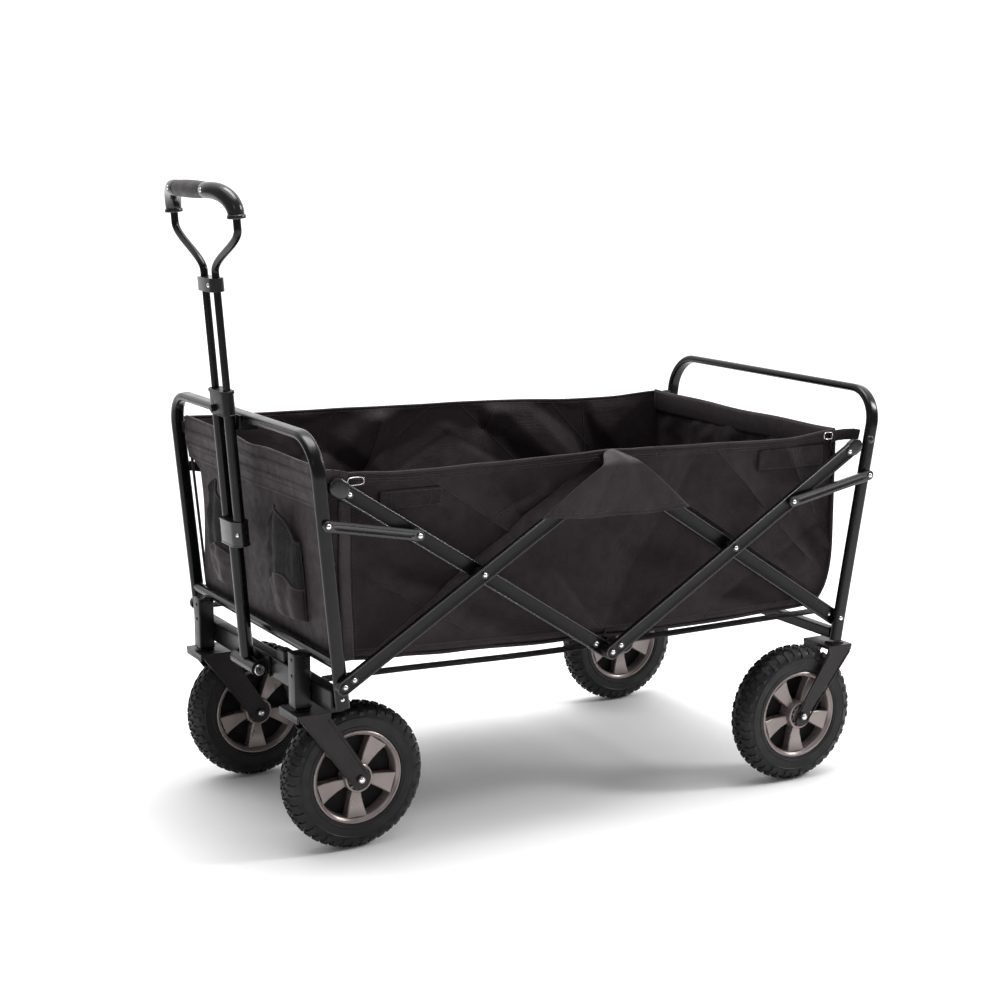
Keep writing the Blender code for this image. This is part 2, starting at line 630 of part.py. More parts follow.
def build_bag():
    """An open box of cloth with a flat floor that is drawn up at its front edge."""
    ramp = 0.120
    outer = [(front_panel_x(BAG_TOE_Z), BAG_TOE_Z), (ramp, BAG_FLOOR_Z), (BAG_REAR_X, BAG_FLOOR_Z),
             (BAG_REAR_X, BAG_REAR_RIM_Z), (BAG_REAR_X - 0.060, BAG_RIM_Z), (0.060, BAG_RIM_Z),
             (front_panel_x(BAG_FRONT_RIM_Z), BAG_FRONT_RIM_Z)]
    above = BAG_FRONT_RIM_Z + 0.050
    toe = BAG_TOE_Z + CLOTH
    floor = BAG_FLOOR_Z + CLOTH
    inner = [(front_panel_x(toe) + CLOTH, toe), (ramp, floor), (BAG_REAR_X - CLOTH, floor),
             (BAG_REAR_X - CLOTH, above), (front_panel_x(above) + CLOTH, above)]
    shell = plate_mesh(outer, -BAG_HALF, BAG_HALF)
    space = plate_mesh(inner, -BAG_HALF + CLOTH, BAG_HALF - CLOTH)
    place("bag", combine(shell, [space], "DIFFERENCE"), POLYESTER, at(0, 0, 0))


def build_pockets():
    """Two mesh cup pockets on the front panel, open at the top."""
    low = 0.335
    high = 0.485
    swell = 0.028
    wall = 0.002
    half = 0.048
    above = high + 0.020
    inner_low = low + wall
    pocket = [(front_panel_x(low) - GAP, low), (front_panel_x(high) - GAP, high),
              (front_panel_x(high) - swell, high), (front_panel_x(low) - swell, low)]
    hollow = [(front_panel_x(inner_low) - wall, inner_low), (front_panel_x(above) - wall, above),
              (front_panel_x(above) - swell + wall, above),
              (front_panel_x(inner_low) - swell + wall, inner_low)]
    inside = plate_mesh(hollow, wall - half, half - wall)
    pouch = combine(plate_mesh(pocket, -half, half), [inside], "DIFFERENCE")
    for side, sign in SIDES.items():
        place("cup_pocket_" + side, pouch, MESH_CLOTH, at(0, sign * 0.116, 0))


def build_trim():
    """A triangular flap over each side's top joint, and two webbing straps under the floor."""
    flap = [(0.4060, 0.5440), (0.3050, 0.4620), (0.5480, 0.4570), (0.4480, 0.5440)]
    flap_in = OUTER_BAR_Y + BAR_THICK / 2 + GAP
    flap_out = flap_in + 0.002
    place("side_flap_near", plate_mesh(flap, -flap_out, -flap_in), POLYESTER, at(0, 0, 0))
    place("side_flap_far", plate_mesh(flap, flap_in, flap_out), POLYESTER, at(0, 0, 0))

    under = [(-0.0080, 0.2630), (0.3900, 0.2535), (0.8340, 0.2545), (0.8340, 0.2570), (0.3900, 0.2560),
             (-0.0080, 0.2655)]
    web = plate_mesh(under, -0.0120, 0.0120)
    for side, sign in SIDES.items():
        place("floor_strap_" + side, web, POLYESTER, at(0, sign * 0.232, 0))


build_front_frame()
build_rear_frame()
build_wheels()
build_forks()
build_bars()
build_links()
build_lower_handle()
build_upper_handle()
build_bag()
build_pockets()
build_trim()
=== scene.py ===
"""Looks for the folding camp wagon: fabric, finishes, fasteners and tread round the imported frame.

Metres, +Z up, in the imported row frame.  at(x, y, z) counts X from the front frame's bar pivots.
"""

import math

import bmesh
import bpy
from mathutils import Matrix, Vector, noise


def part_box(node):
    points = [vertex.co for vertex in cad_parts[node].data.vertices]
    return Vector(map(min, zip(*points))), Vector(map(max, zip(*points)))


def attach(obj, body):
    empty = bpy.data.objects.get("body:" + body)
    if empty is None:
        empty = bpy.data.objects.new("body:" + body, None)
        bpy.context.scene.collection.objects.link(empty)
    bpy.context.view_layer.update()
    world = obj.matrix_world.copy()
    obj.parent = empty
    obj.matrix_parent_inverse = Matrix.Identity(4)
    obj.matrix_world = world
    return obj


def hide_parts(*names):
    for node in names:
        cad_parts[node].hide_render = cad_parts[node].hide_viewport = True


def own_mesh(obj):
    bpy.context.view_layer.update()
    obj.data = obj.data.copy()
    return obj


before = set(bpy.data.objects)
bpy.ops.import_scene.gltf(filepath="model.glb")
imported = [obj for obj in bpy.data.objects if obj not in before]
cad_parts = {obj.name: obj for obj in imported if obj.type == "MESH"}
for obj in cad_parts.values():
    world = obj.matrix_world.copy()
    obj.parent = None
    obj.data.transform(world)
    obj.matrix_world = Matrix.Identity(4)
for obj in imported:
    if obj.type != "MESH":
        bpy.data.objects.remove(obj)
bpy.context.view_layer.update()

# ---------------------------------------------------------------- dimensions shared with the CAD
SPAN = 0.8485
FRONT_PIVOT_Z = 0.2610
REAR_PIVOT_Z = 0.2462
SCISSOR_RISE = 0.2683
HALF_WIDTH = 0.263
FRONT_LEAN = 0.0906
REAR_LEAN = 0.160
REAR_SPLAY = 0.004
FRONT_TOP_Z = 0.5975
REAR_TOP_Z = 0.599
HOOP_CORNER = 0.052
OUTER_BAR_Y = 0.2733
INNER_BAR_Y = 0.2527
BAR_THICK = 0.008
LINK_ON_BAR = 0.118
FRONT_LINK_AT = (-0.0185, 0.4825)
REAR_LINK_AT = (0.8835, 0.4730)
WHEEL_RADIUS = 0.1055
SWIVEL_X = -0.0235
SWIVEL_Y = 0.181
AXLE_X = {"front": SWIVEL_X + 0.076, "rear": 0.771}
AXLE_Y = {"front": SWIVEL_Y, "rear": 0.2485}
HANDLE_X = -0.0265
HANDLE_Z = 0.2330
HANDLE_LEAN = 0.0735
TWIN_Y = 0.0215
GRIP_Z = 0.9140
GRIP_HALF = 0.0515
GRIP_FORWARD = 0.015
LOOP_HALF = 0.119
BAG_HALF = 0.245
BAG_FLOOR_Z = 0.2640
BAG_REAR_X = 0.8445

MIDDLE_X = -0.003 - (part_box("front_crossbar")[0].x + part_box("front_crossbar")[1].x) / 2
LATTICE = math.hypot(SPAN, FRONT_PIVOT_Z - REAR_PIVOT_Z)
ARM = math.hypot(LATTICE / 4, SCISSOR_RISE / 2)
FALL = math.atan2(FRONT_PIVOT_Z - REAR_PIVOT_Z, SPAN)
RISING = math.atan2(SCISSOR_RISE / 2, LATTICE / 4) - FALL
FALLING = math.atan2(SCISSOR_RISE / 2, LATTICE / 4) + FALL
HANDLE_TILT = math.atan(HANDLE_LEAN)
SIDES = {"near": -1, "far": 1}


def at(x, y, z):
    return Vector((x - MIDDLE_X, y, z))


def smooth(t):
    t = min(max(t, 0.0), 1.0)
    return t * t * (3 - 2 * t)


def table(points, x):
    """Smooth height read from a short list of (x, value) pairs."""
    if x <= points[0][0]:
        return points[0][1]
    for (x0, v0), (x1, v1) in zip(points, points[1:]):
        if x <= x1:
            return v0 + (v1 - v0) * smooth((x - x0) / (x1 - x0))
    return points[-1][1]


# ---------------------------------------------------------------- materials
def new_material(name, colour, roughness):
    mat = bpy.data.materials.new(name)
    mat.use_nodes = True
    shader = mat.node_tree.nodes["Principled BSDF"]
    shader.inputs["Base Color"].default_value = (*colour, 1)
    shader.inputs["Roughness"].default_value = roughness
    return mat, shader


def node(mat, kind, **values):
    made = mat.node_tree.nodes.new(kind)
    for key, value in values.items():
        made.inputs[key.replace("_", " ")].default_value = value
    return made


def link(mat, a, b):
    mat.node_tree.links.new(a, b)


def place_coords(mat):
    return mat.node_tree.nodes.new("ShaderNodeTexCoord").outputs["Object"]


def noise_node(mat, scale, detail=3.0, rough=0.5):
    tex = node(mat, "ShaderNodeTexNoise", Scale=scale, Detail=detail, Roughness=rough)
    link(mat, place_coords(mat), tex.inputs["Vector"])
    return tex.outputs["Fac"]


def ramp(mat, source, low, high, low_at=0.3, high_at=0.7):
    made = mat.node_tree.nodes.new("ShaderNodeValToRGB")
    made.color_ramp.elements[0].position = low_at
    made.color_ramp.elements[1].position = high_at
    made.color_ramp.elements[0].color = (*low, 1)
    made.color_ramp.elements[1].color = (*high, 1)
    link(mat, source, made.inputs["Fac"])
    return made.outputs["Color"]


def grey(value):
    return (value, value, value)


def math_node(mat, operation, a, b):
    made = mat.node_tree.nodes.new("ShaderNodeMath")
    made.operation = operation
    for socket, value in zip(made.inputs, (a, b)):
        if isinstance(value, (int, float)):
            socket.default_value = value
        else:
            link(mat, value, socket)
    return made.outputs["Value"]


def bump(mat, shader, height, strength, distance):
    made = node(mat, "ShaderNodeBump", Strength=strength, Distance=distance)
    link(mat, height, made.inputs["Height"])
    link(mat, made.outputs["Normal"], shader.inputs["Normal"])


def painted(name, dark, light, roughness, grain=900.0, strength=0.12, specular=0.5, metallic=0.0):
    """Powder coat or moulded plastic: fine orange peel, faint colour and gloss variation."""
    mat, shader = new_material(name, dark, roughness[0])
    link(mat, ramp(mat, noise_node(mat, 14.0, 4.0), dark, light), shader.inputs["Base Color"])
    gloss = ramp(mat, noise_node(mat, 45.0, 5.0), grey(roughness[0]), grey(roughness[1]))
    link(mat, gloss, shader.inputs["Roughness"])
    bump(mat, shader, noise_node(mat, grain, 2.0), strength, 0.0003)
    shader.inputs["Specular IOR Level"].default_value = specular
    shader.inputs["Metallic"].default_value = metallic
    return mat


def weave_height(mat, pitch):
    """Crossed threads: the sum of sine bands along the three axes, two of which lie in any panel."""
    total = None
    coords = mat.node_tree.nodes.new("ShaderNodeSeparateXYZ")
    link(mat, place_coords(mat), coords.inputs["Vector"])
    for axis in ("X", "Y", "Z"):
        turn = math_node(mat, "MULTIPLY", coords.outputs[axis], 2 * math.pi / pitch)
        wave = math_node(mat, "SINE", turn, 0.0)
        total = wave if total is None else math_node(mat, "ADD", total, wave)
    return total


CLOTH_ROUGHNESS = 0.58


def cloth(name, dark, light, pitch=0.0011, sheen=0.10, weave=0.35):
    """Woven polyester: threads, slubs, lint and slow fading."""
    mat, shader = new_material(name, dark, CLOTH_ROUGHNESS)
    mottled = math_node(mat, "ADD", math_node(mat, "MULTIPLY", noise_node(mat, 420.0, 3.0, 0.7), 0.55),
                        math_node(mat, "MULTIPLY", noise_node(mat, 7.0, 4.0), 0.45))
    link(mat, ramp(mat, mottled, dark, light, 0.36, 0.66), shader.inputs["Base Color"])
    low, high = CLOTH_ROUGHNESS - 0.12, CLOTH_ROUGHNESS + 0.08
    link(mat, ramp(mat, noise_node(mat, 60.0, 3.0), grey(low), grey(high)), shader.inputs["Roughness"])
    shader.inputs["Sheen Weight"].default_value = sheen
    shader.inputs["Sheen Roughness"].default_value = 0.45
    shader.inputs["Sheen Tint"].default_value = (0.75, 0.66, 0.72, 1)
    shader.inputs["Specular IOR Level"].default_value = 0.22
    shader.inputs["Specular Tint"].default_value = (1.0, 0.82, 0.90, 1)
    height = math_node(mat, "ADD", math_node(mat, "MULTIPLY", weave_height(mat, pitch), 0.18),
                       math_node(mat, "MULTIPLY", noise_node(mat, 38.0, 5.0, 0.6), 2.2))
    bump(mat, shader, height, weave, 0.0011)
    return mat


COAT_DARK = (0.0022, 0.0019, 0.0020)
COAT_LIGHT = (0.0048, 0.0041, 0.0043)
POWDER = painted("powder_coat", COAT_DARK, COAT_LIGHT, (0.26, 0.38), specular=0.20)
powder_shader = POWDER.node_tree.nodes["Principled BSDF"]
powder_shader.inputs["Coat Weight"].default_value = 0.07
powder_shader.inputs["Coat Roughness"].default_value = 0.10
TUBE_PAINT = painted("tube_coat", COAT_DARK, COAT_LIGHT, (0.18, 0.28), specular=0.26)
# A lighter, glossier copy of the powder coat for rolled edges and link stays: its lighter colour is painted
# highlight.
EDGE_HIGHLIGHT_PAINT = painted("edge_highlight_coat", (0.0050, 0.0044, 0.0045), (0.0100, 0.0088, 0.0090), (0.18, 0.30),
                     specular=0.75)
FORK_PAINT = painted("fork_paint", (0.0080, 0.0062, 0.0060), (0.0150, 0.0118, 0.0112), (0.28, 0.42),
                     specular=0.24)
BLACK_PLASTIC = painted("black_plastic", (0.0030, 0.0027, 0.0030), (0.0068, 0.0062, 0.0068), (0.30, 0.46),
                        600.0, 0.2, 0.26)
CAP_PLASTIC = painted("cap_plastic", (0.0065, 0.0060, 0.0065), (0.0120, 0.0110, 0.0120), (0.18, 0.28),
                      500.0, 0.1)
GRIP_FOAM = painted("grip_rubber", (0.0230, 0.0180, 0.0185), (0.0430, 0.0350, 0.0350), (0.50, 0.70), 700.0,
                    0.4)
RIM_PAINT = painted("rim_plastic", (0.190, 0.160, 0.152), (0.270, 0.232, 0.222), (0.24, 0.36), 500.0, 0.08,
                    metallic=0.50)
# The near-black colour of the disc behind the spokes is painted shade in the wheel's windows.
WINDOW_SHADE = painted("rim_window_shade", (0.0022, 0.0014, 0.0013), (0.0050, 0.0030, 0.0028), (0.45, 0.6), 500.0,
                      0.1, 0.12)
TYRE = painted("tyre_rubber", (0.0030, 0.0026, 0.0027), (0.0082, 0.0070, 0.0072), (0.40, 0.60), 420.0, 0.45,
               0.30)
ZINC = painted("zinc", (0.62, 0.61, 0.60), (0.80, 0.79, 0.78), (0.16, 0.32), 900.0, 0.08, metallic=1.0)
CLOTH = cloth("polyester", (0.0056, 0.0041, 0.0047), (0.0132, 0.0100, 0.0113))
CLOTH_BAND = cloth("polyester_band", (0.0105, 0.0084, 0.0098), (0.0230, 0.0185, 0.0210), sheen=0.12)
CLOTH_TAPE = cloth("binding_tape", (0.0240, 0.0205, 0.0220), (0.0480, 0.0420, 0.0440), pitch=0.0016)
CLOTH_FLAP = cloth("polyester_flap", (0.0108, 0.0088, 0.0086), (0.0228, 0.0190, 0.0184), sheen=0.12)
WEBBING = cloth("webbing", (0.0050, 0.0046, 0.0048), (0.0140, 0.0125, 0.0130), pitch=0.0022, weave=0.8)
HOOK_PILE = cloth("hook_and_loop", (0.0040, 0.0036, 0.0040), (0.0135, 0.0120, 0.0125), pitch=0.0016,
                  weave=1.0)
THREAD = cloth("thread", (0.0200, 0.0180, 0.0190), (0.0420, 0.0375, 0.0390), pitch=0.0006)


def mesh_net(name):
    """Pocket net: open hexagon-like holes between dark threads."""
    mat, shader = new_material(name, (0.006, 0.006, 0.006), 0.8)
    cells = mat.node_tree.nodes.new("ShaderNodeTexVoronoi")
    cells.feature = "DISTANCE_TO_EDGE"
    cells.inputs["Scale"].default_value = 330.0
    cells.inputs["Randomness"].default_value = 0.35
    link(mat, place_coords(mat), cells.inputs["Vector"])
    link(mat, ramp(mat, cells.outputs["Distance"], grey(1.0), grey(0.0), 0.20, 0.25), shader.inputs["Alpha"])
    link(mat, ramp(mat, noise_node(mat, 300.0), grey(0.002), grey(0.007)), shader.inputs["Base Color"])
    return mat


NET = mesh_net("pocket_net")


# ---------------------------------------------------------------- mesh builder
class Build:
    """Geometry gathered for one piece, in row-frame metres."""

    def __init__(self):
        self.verts = []
        self.faces = []

    def add(self, verts, faces, matrix=None):
        start = len(self.verts)
        self.verts += [matrix @ Vector(v) if matrix else Vector(v) for v in verts]
        self.faces += [[start + i for i in face] for face in faces]

    def rings(self, rings, matrix=None, cap_start=True, cap_end=True, closed=True):
        """Skin between rings of points that all have the same count."""
        count = len(rings[0])
        verts = [p for ring in rings for p in ring]
        faces = []
        last = count if closed else count - 1
        for r in range(len(rings) - 1):
            for i in range(last):
                j = (i + 1) % count
                faces.append([r * count + i, r * count + j, (r + 1) * count + j, (r + 1) * count + i])
        if cap_start:
            faces.append(list(range(count))[::-1])
        if cap_end:
            faces.append([(len(rings) - 1) * count + i for i in range(count)])
        self.add(verts, faces, matrix)

    def lathe(self, profile, matrix=None, steps=24, cap=True):
        """(radius, height) pairs turned about local Z."""
        rings = []
        for radius, height in profile:
            ring = []
            for i in range(steps):
                turn = 2 * math.pi * i / steps
                ring.append((radius * math.cos(turn), radius * math.sin(turn), height))
            rings.append(ring)
        self.rings(rings, matrix, cap, cap)

    def sweep(self, points, section, matrix=None, closed=False):
        """A section of (side, up) offsets, or one such list per point, carried along points with no twist."""
        points = [Vector(p) for p in points]
        count = len(points)
        normal = None
        rings = []
        for k, point in enumerate(points):
            ahead = points[min(k + 1, count - 1)] if not closed else points[(k + 1) % count]
            behind = points[max(k - 1, 0)] if not closed else points[(k - 1) % count]
            way = (ahead - behind).normalized()
            if normal is None:
                guess = Vector((0, 1, 0)) if abs(way.y) < 0.8 else Vector((0, 0, 1))
                normal = (guess - way * guess.dot(way)).normalized()
            else:
                normal = (normal - way * normal.dot(way)).normalized()
            up = way.cross(normal)
            shape = section[k] if isinstance(section[0], list) else section
            rings.append([point + normal * a + up * b for a, b in shape])
        if closed:
            rings.append(rings[0])
        self.rings(rings, matrix, not closed, not closed)

    def grid(self, rows):
        self.rings(rows, None, False, False, closed=False)

    def make(self, name, mat, body, replaces=(), angle=35, slot=None, merge=True):
        mesh = bpy.data.meshes.new(name)
        mesh.from_pydata([tuple(v) for v in self.verts], [], self.faces)
        bm = bmesh.new()
        bm.from_mesh(mesh)
        if merge:
            bmesh.ops.remove_doubles(bm, verts=bm.verts, dist=1e-6)
            bmesh.ops.recalc_face_normals(bm, faces=bm.faces)
        bm.to_mesh(mesh)
        bm.free()
        return finish_mesh(name, mesh, mat, body, replaces, angle)


def finish_mesh(name, mesh, mat, body, replaces=(), angle=35):
    mesh.materials.clear()
    mesh.materials.append(mat)
    mesh.shade_smooth()
    mesh.set_sharp_from_angle(angle=math.radians(angle))
    obj = bpy.data.objects.new(name, mesh)
    bpy.context.scene.collection.objects.link(obj)
    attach(obj, body)
    if replaces:
        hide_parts(*replaces)
    return obj


def circle(radius, sides, stretch=1.0):
    return [(radius * math.cos(2 * math.pi * i / sides) * stretch, radius * math.sin(2 * math.pi * i / sides))
            for i in range(sides)]


def rounded_box(half_a, half_b, corner, steps=4):
    """Section of a flattened tube: a rectangle with round corners."""
    points = []
    for ca, cb, start in ((1, 1, 0), (-1, 1, 90), (-1, -1, 180), (1, -1, 270)):
        for i in range(steps + 1):
            turn = math.radians(start + 90 * i / steps)
            points.append((ca * (half_a - corner) + corner * math.cos(turn),
                           cb * (half_b - corner) + corner * math.sin(turn)))
    return points


def stadium(start, end, radius, depth):
    """Ring of points round a strip with two round ends, along X in the XZ plane, at one Y."""
    steps = 10
    points = []
    for centre, first in ((end, -90), (start, 90)):
        for i in range(steps + 1):
            turn = math.radians(first + 180 * i / steps)
            points.append((centre + radius * math.cos(turn), depth, radius * math.sin(turn)))
    return points


def facing(point, sign):
    """Matrix that stands a turned piece on a face that looks along sign * Y."""
    return Matrix.Translation(point) @ Matrix.Rotation(-sign * math.pi / 2, 4, "X")


RIVET = [(0.0, 0.0026), (0.0014, 0.0025), (0.0027, 0.0019), (0.0034, 0.0009), (0.0036, 0.0002),
         (0.0036, -0.0010)]
WASHER = [(0.0034, 0.0008), (0.0052, 0.0008), (0.0057, 0.0004), (0.0058, -0.0006)]


def body_of(name):
    return name + "_body" if name.startswith(("bar_", "link_")) else name


def refined(node_name, mat, body, width):
    """The CAD node's own shape with its faces merged and its edges rounded."""
    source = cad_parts[node_name]
    mesh = source.data.copy()
    bm = bmesh.new()
    bm.from_mesh(mesh)
    bmesh.ops.remove_doubles(bm, verts=bm.verts, dist=2e-6)
    bmesh.ops.dissolve_limit(bm, angle_limit=math.radians(2), verts=bm.verts, edges=bm.edges)
    bm.to_mesh(mesh)
    bm.free()
    obj = finish_mesh(node_name + "_finish", mesh, mat, body, (node_name,), 40)
    bevel = obj.modifiers.new("soft_edges", "BEVEL")
    bevel.width = width
    bevel.segments = 2
    bevel.limit_method = "ANGLE"
    bevel.angle_limit = math.radians(40)
    bevel.harden_normals = True
    return obj


def paint(names, mat):
    for name in names:
        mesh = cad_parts[name].data
        mesh.materials.clear()
        mesh.materials.append(mat)


# ---------------------------------------------------------------- frames
def hoop_piece(name, body, base, lean, foot_z, top_z, splay):
    tilt = math.atan(lean)
    foot = (foot_z - base.z) / math.cos(tilt)
    top = (top_z - base.z) / math.cos(tilt)
    wide = HALF_WIDTH + splay
    half = [(-HALF_WIDTH, foot), (-HALF_WIDTH, 0.0), (-wide + 0.0002, top - HOOP_CORNER - 0.004)]
    for i in range(15):
        turn = math.radians(180 - 90 * i / 14)
        half.append((-wide + HOOP_CORNER + HOOP_CORNER * math.cos(turn),
                     top - HOOP_CORNER + HOOP_CORNER * math.sin(turn)))
    path = half + [(-y, z) for y, z in reversed(half)]
    build = Build()
    section = rounded_box(0.0060, 0.0100, 0.0054, 5)
    matrix = Matrix.Translation(base) @ Matrix.Rotation(tilt, 4, "Y")
    rings = []
    for k, (y, z) in enumerate(path):
        ahead = path[min(k + 1, len(path) - 1)]
        behind = path[max(k - 1, 0)]
        way = Vector((0, ahead[0] - behind[0], ahead[1] - behind[1])).normalized()
        across = Vector((1, 0, 0)).cross(way)
        rings.append([Vector((0, y, z)) + across * a + Vector((b, 0, 0)) for a, b in section])
    build.rings(rings, matrix)
    build.make(name + "_tube", TUBE_PAINT, body, (name,), 40, "powder_black")


hoop_piece("front_hoop", "front_frame", at(0, 0, FRONT_PIVOT_Z), -FRONT_LEAN, 0.229, FRONT_TOP_Z, 0.0)
hoop_piece("rear_hoop", "rear_frame", at(SPAN, 0, REAR_PIVOT_Z), REAR_LEAN, 0.2135, REAR_TOP_Z, REAR_SPLAY)

for node_name in ("front_axle_beam", "castor_housing_near", "castor_housing_far", "handle_bracket"):
    refined(node_name, POWDER, "front_frame", 0.0009)
for node_name in ("hoop_clip", "handle_stop"):
    refined(node_name, BLACK_PLASTIC, "front_frame", 0.0012)
refined("rear_crossbar", POWDER, "rear_frame", 0.0009)
for side in SIDES:
    refined("castor_fork_" + side, FORK_PAINT, "castor_" + side, 0.0010)
    refined("rear_fork_" + side, FORK_PAINT, "rear_frame", 0.0010)
refined("handle_block", BLACK_PLASTIC, "handle_lower", 0.0010)
refined("handle_clamp", CAP_PLASTIC, "handle_upper", 0.0012)
refined("handle_collar", CAP_PLASTIC, "handle_lower", 0.0014)
refined("release_button", BLACK_PLASTIC, "button", 0.0010)
paint(["front_crossbar", "handle_sleeve", "handle_lower_tube"], TUBE_PAINT)
paint(["handle_outer_tube_near", "handle_outer_tube_far"], TUBE_PAINT)
paint(["handle_pivot_bolt"], ZINC)
paint(["axle_front_near", "axle_front_far", "axle_rear_near", "axle_rear_far"], CAP_PLASTIC)


# ---------------------------------------------------------------- scissor bars and links
MID = (ARM * math.cos(RISING), FRONT_PIVOT_Z + ARM * math.sin(RISING))
LOW = (MID[0] + ARM * math.cos(FALLING), MID[1] - ARM * math.sin(FALLING))
REAR_MID = (LOW[0] + ARM * math.cos(RISING), LOW[1] + ARM * math.sin(RISING))

# The rolled edge that stands a little proud of a bar's face: inset from the side, height over the face.
EDGE_BEAD = [(0.0004, -0.0016), (0.0003, -0.0004), (0.0006, 0.0003), (0.0013, 0.0004), (0.0020, 0.0003),
             (0.0024, -0.0004), (0.0025, -0.0016)]


def bar_piece(node_name, place_at, slope, start, end, width, sign, bosses=()):
    """A channel-pressed bar: raised edges round a shallow web on its outer face."""
    half = BAR_THICK / 2
    edge = width / 2
    plan = [(edge - 0.0007, -half), (edge, -half + 0.0007), (edge, half - 0.0008), (edge - 0.0009, half),
            (edge - 0.0024, half), (edge - 0.0031, half - 0.0009), (edge - 0.0036, half - 0.0010)]
    matrix = Matrix.Translation(place_at) @ Matrix.Rotation(-slope, 4, "Y")
    build = Build()
    build.rings([stadium(start, end, r, sign * d) for r, d in plan], matrix)
    for x in bosses:
        reach = half + 0.0123 - 0.0003
        stand = matrix @ facing((x, sign * (half - 0.0015), 0), sign)
        spacer = [(0.0075, 0), (0.0075, 0.0022), (0.0062, 0.0028), (0.0062, reach - half + 0.0010)]
        build.lathe(spacer, stand, 20)
    build.make(node_name + "_pressed", POWDER, body_of(node_name), (node_name,), 30, "powder_black")
    # The edge bead takes the lighter coat: a painted highlight along both edges of the bar.
    bead = Build()
    bead.rings([stadium(start, end, edge - r, sign * (half + d)) for r, d in EDGE_BEAD], matrix)
    bead.make(node_name + "_edges", EDGE_HIGHLIGHT_PAINT, body_of(node_name), (), 60, "powder_black")


def fasten(name, body, spots, sign, washer=True, scale=1.0):
    """Rivets on a face that looks along sign * Y, each on a dark washer."""
    heads = Build()
    rings = Build()
    for spot in spots:
        stand = facing(spot, sign)
        heads.lathe([(r * scale, h) for r, h in RIVET], stand @ Matrix.Translation((0, 0, 0.0004)), 20)
        rings.lathe([(r * scale, h) for r, h in WASHER], stand, 20)
    heads.make(name + "_rivets", ZINC, body, (), 50, "zinc_bolt")
    if washer:
        rings.make(name + "_washers", CAP_PLASTIC, body, (), 50, "powder_black")


def link_piece(node_name, start_at, end_at, y, sign, boss):
    """A short stay with rolled edges, a long groove and round ends."""
    reach = end_at[0] - start_at[0]
    climb = end_at[1] - start_at[1]
    length = math.hypot(reach, climb)
    half = 0.003
    plan = [(0, 0.0070, -half), (0, 0.0075, -half + 0.0006), (0, 0.0075, half - 0.0008), (0, 0.0066, half),
            (0.012, 0.0040, half), (0.013, 0.0030, half - 0.0016), (0.014, 0.0016, half - 0.0020)]
    slope = Matrix.Rotation(-math.atan2(climb, reach), 4, "Y")
    matrix = Matrix.Translation(at(start_at[0], y, start_at[1])) @ slope
    build = Build()
    build.rings([stadium(inset, length - inset, r, sign * d) for inset, r, d in plan], matrix)
    if boss:
        stand = matrix @ facing((0, -sign * (half - 0.001), 0), -sign)
        build.lathe([(0.0062, 0), (0.0062, boss)], stand, 20)
    # The whole stay takes the lighter coat: a painted highlight.
    build.make(node_name + "_stay", EDGE_HIGHLIGHT_PAINT, body_of(node_name), (node_name,), 30, "powder_black")


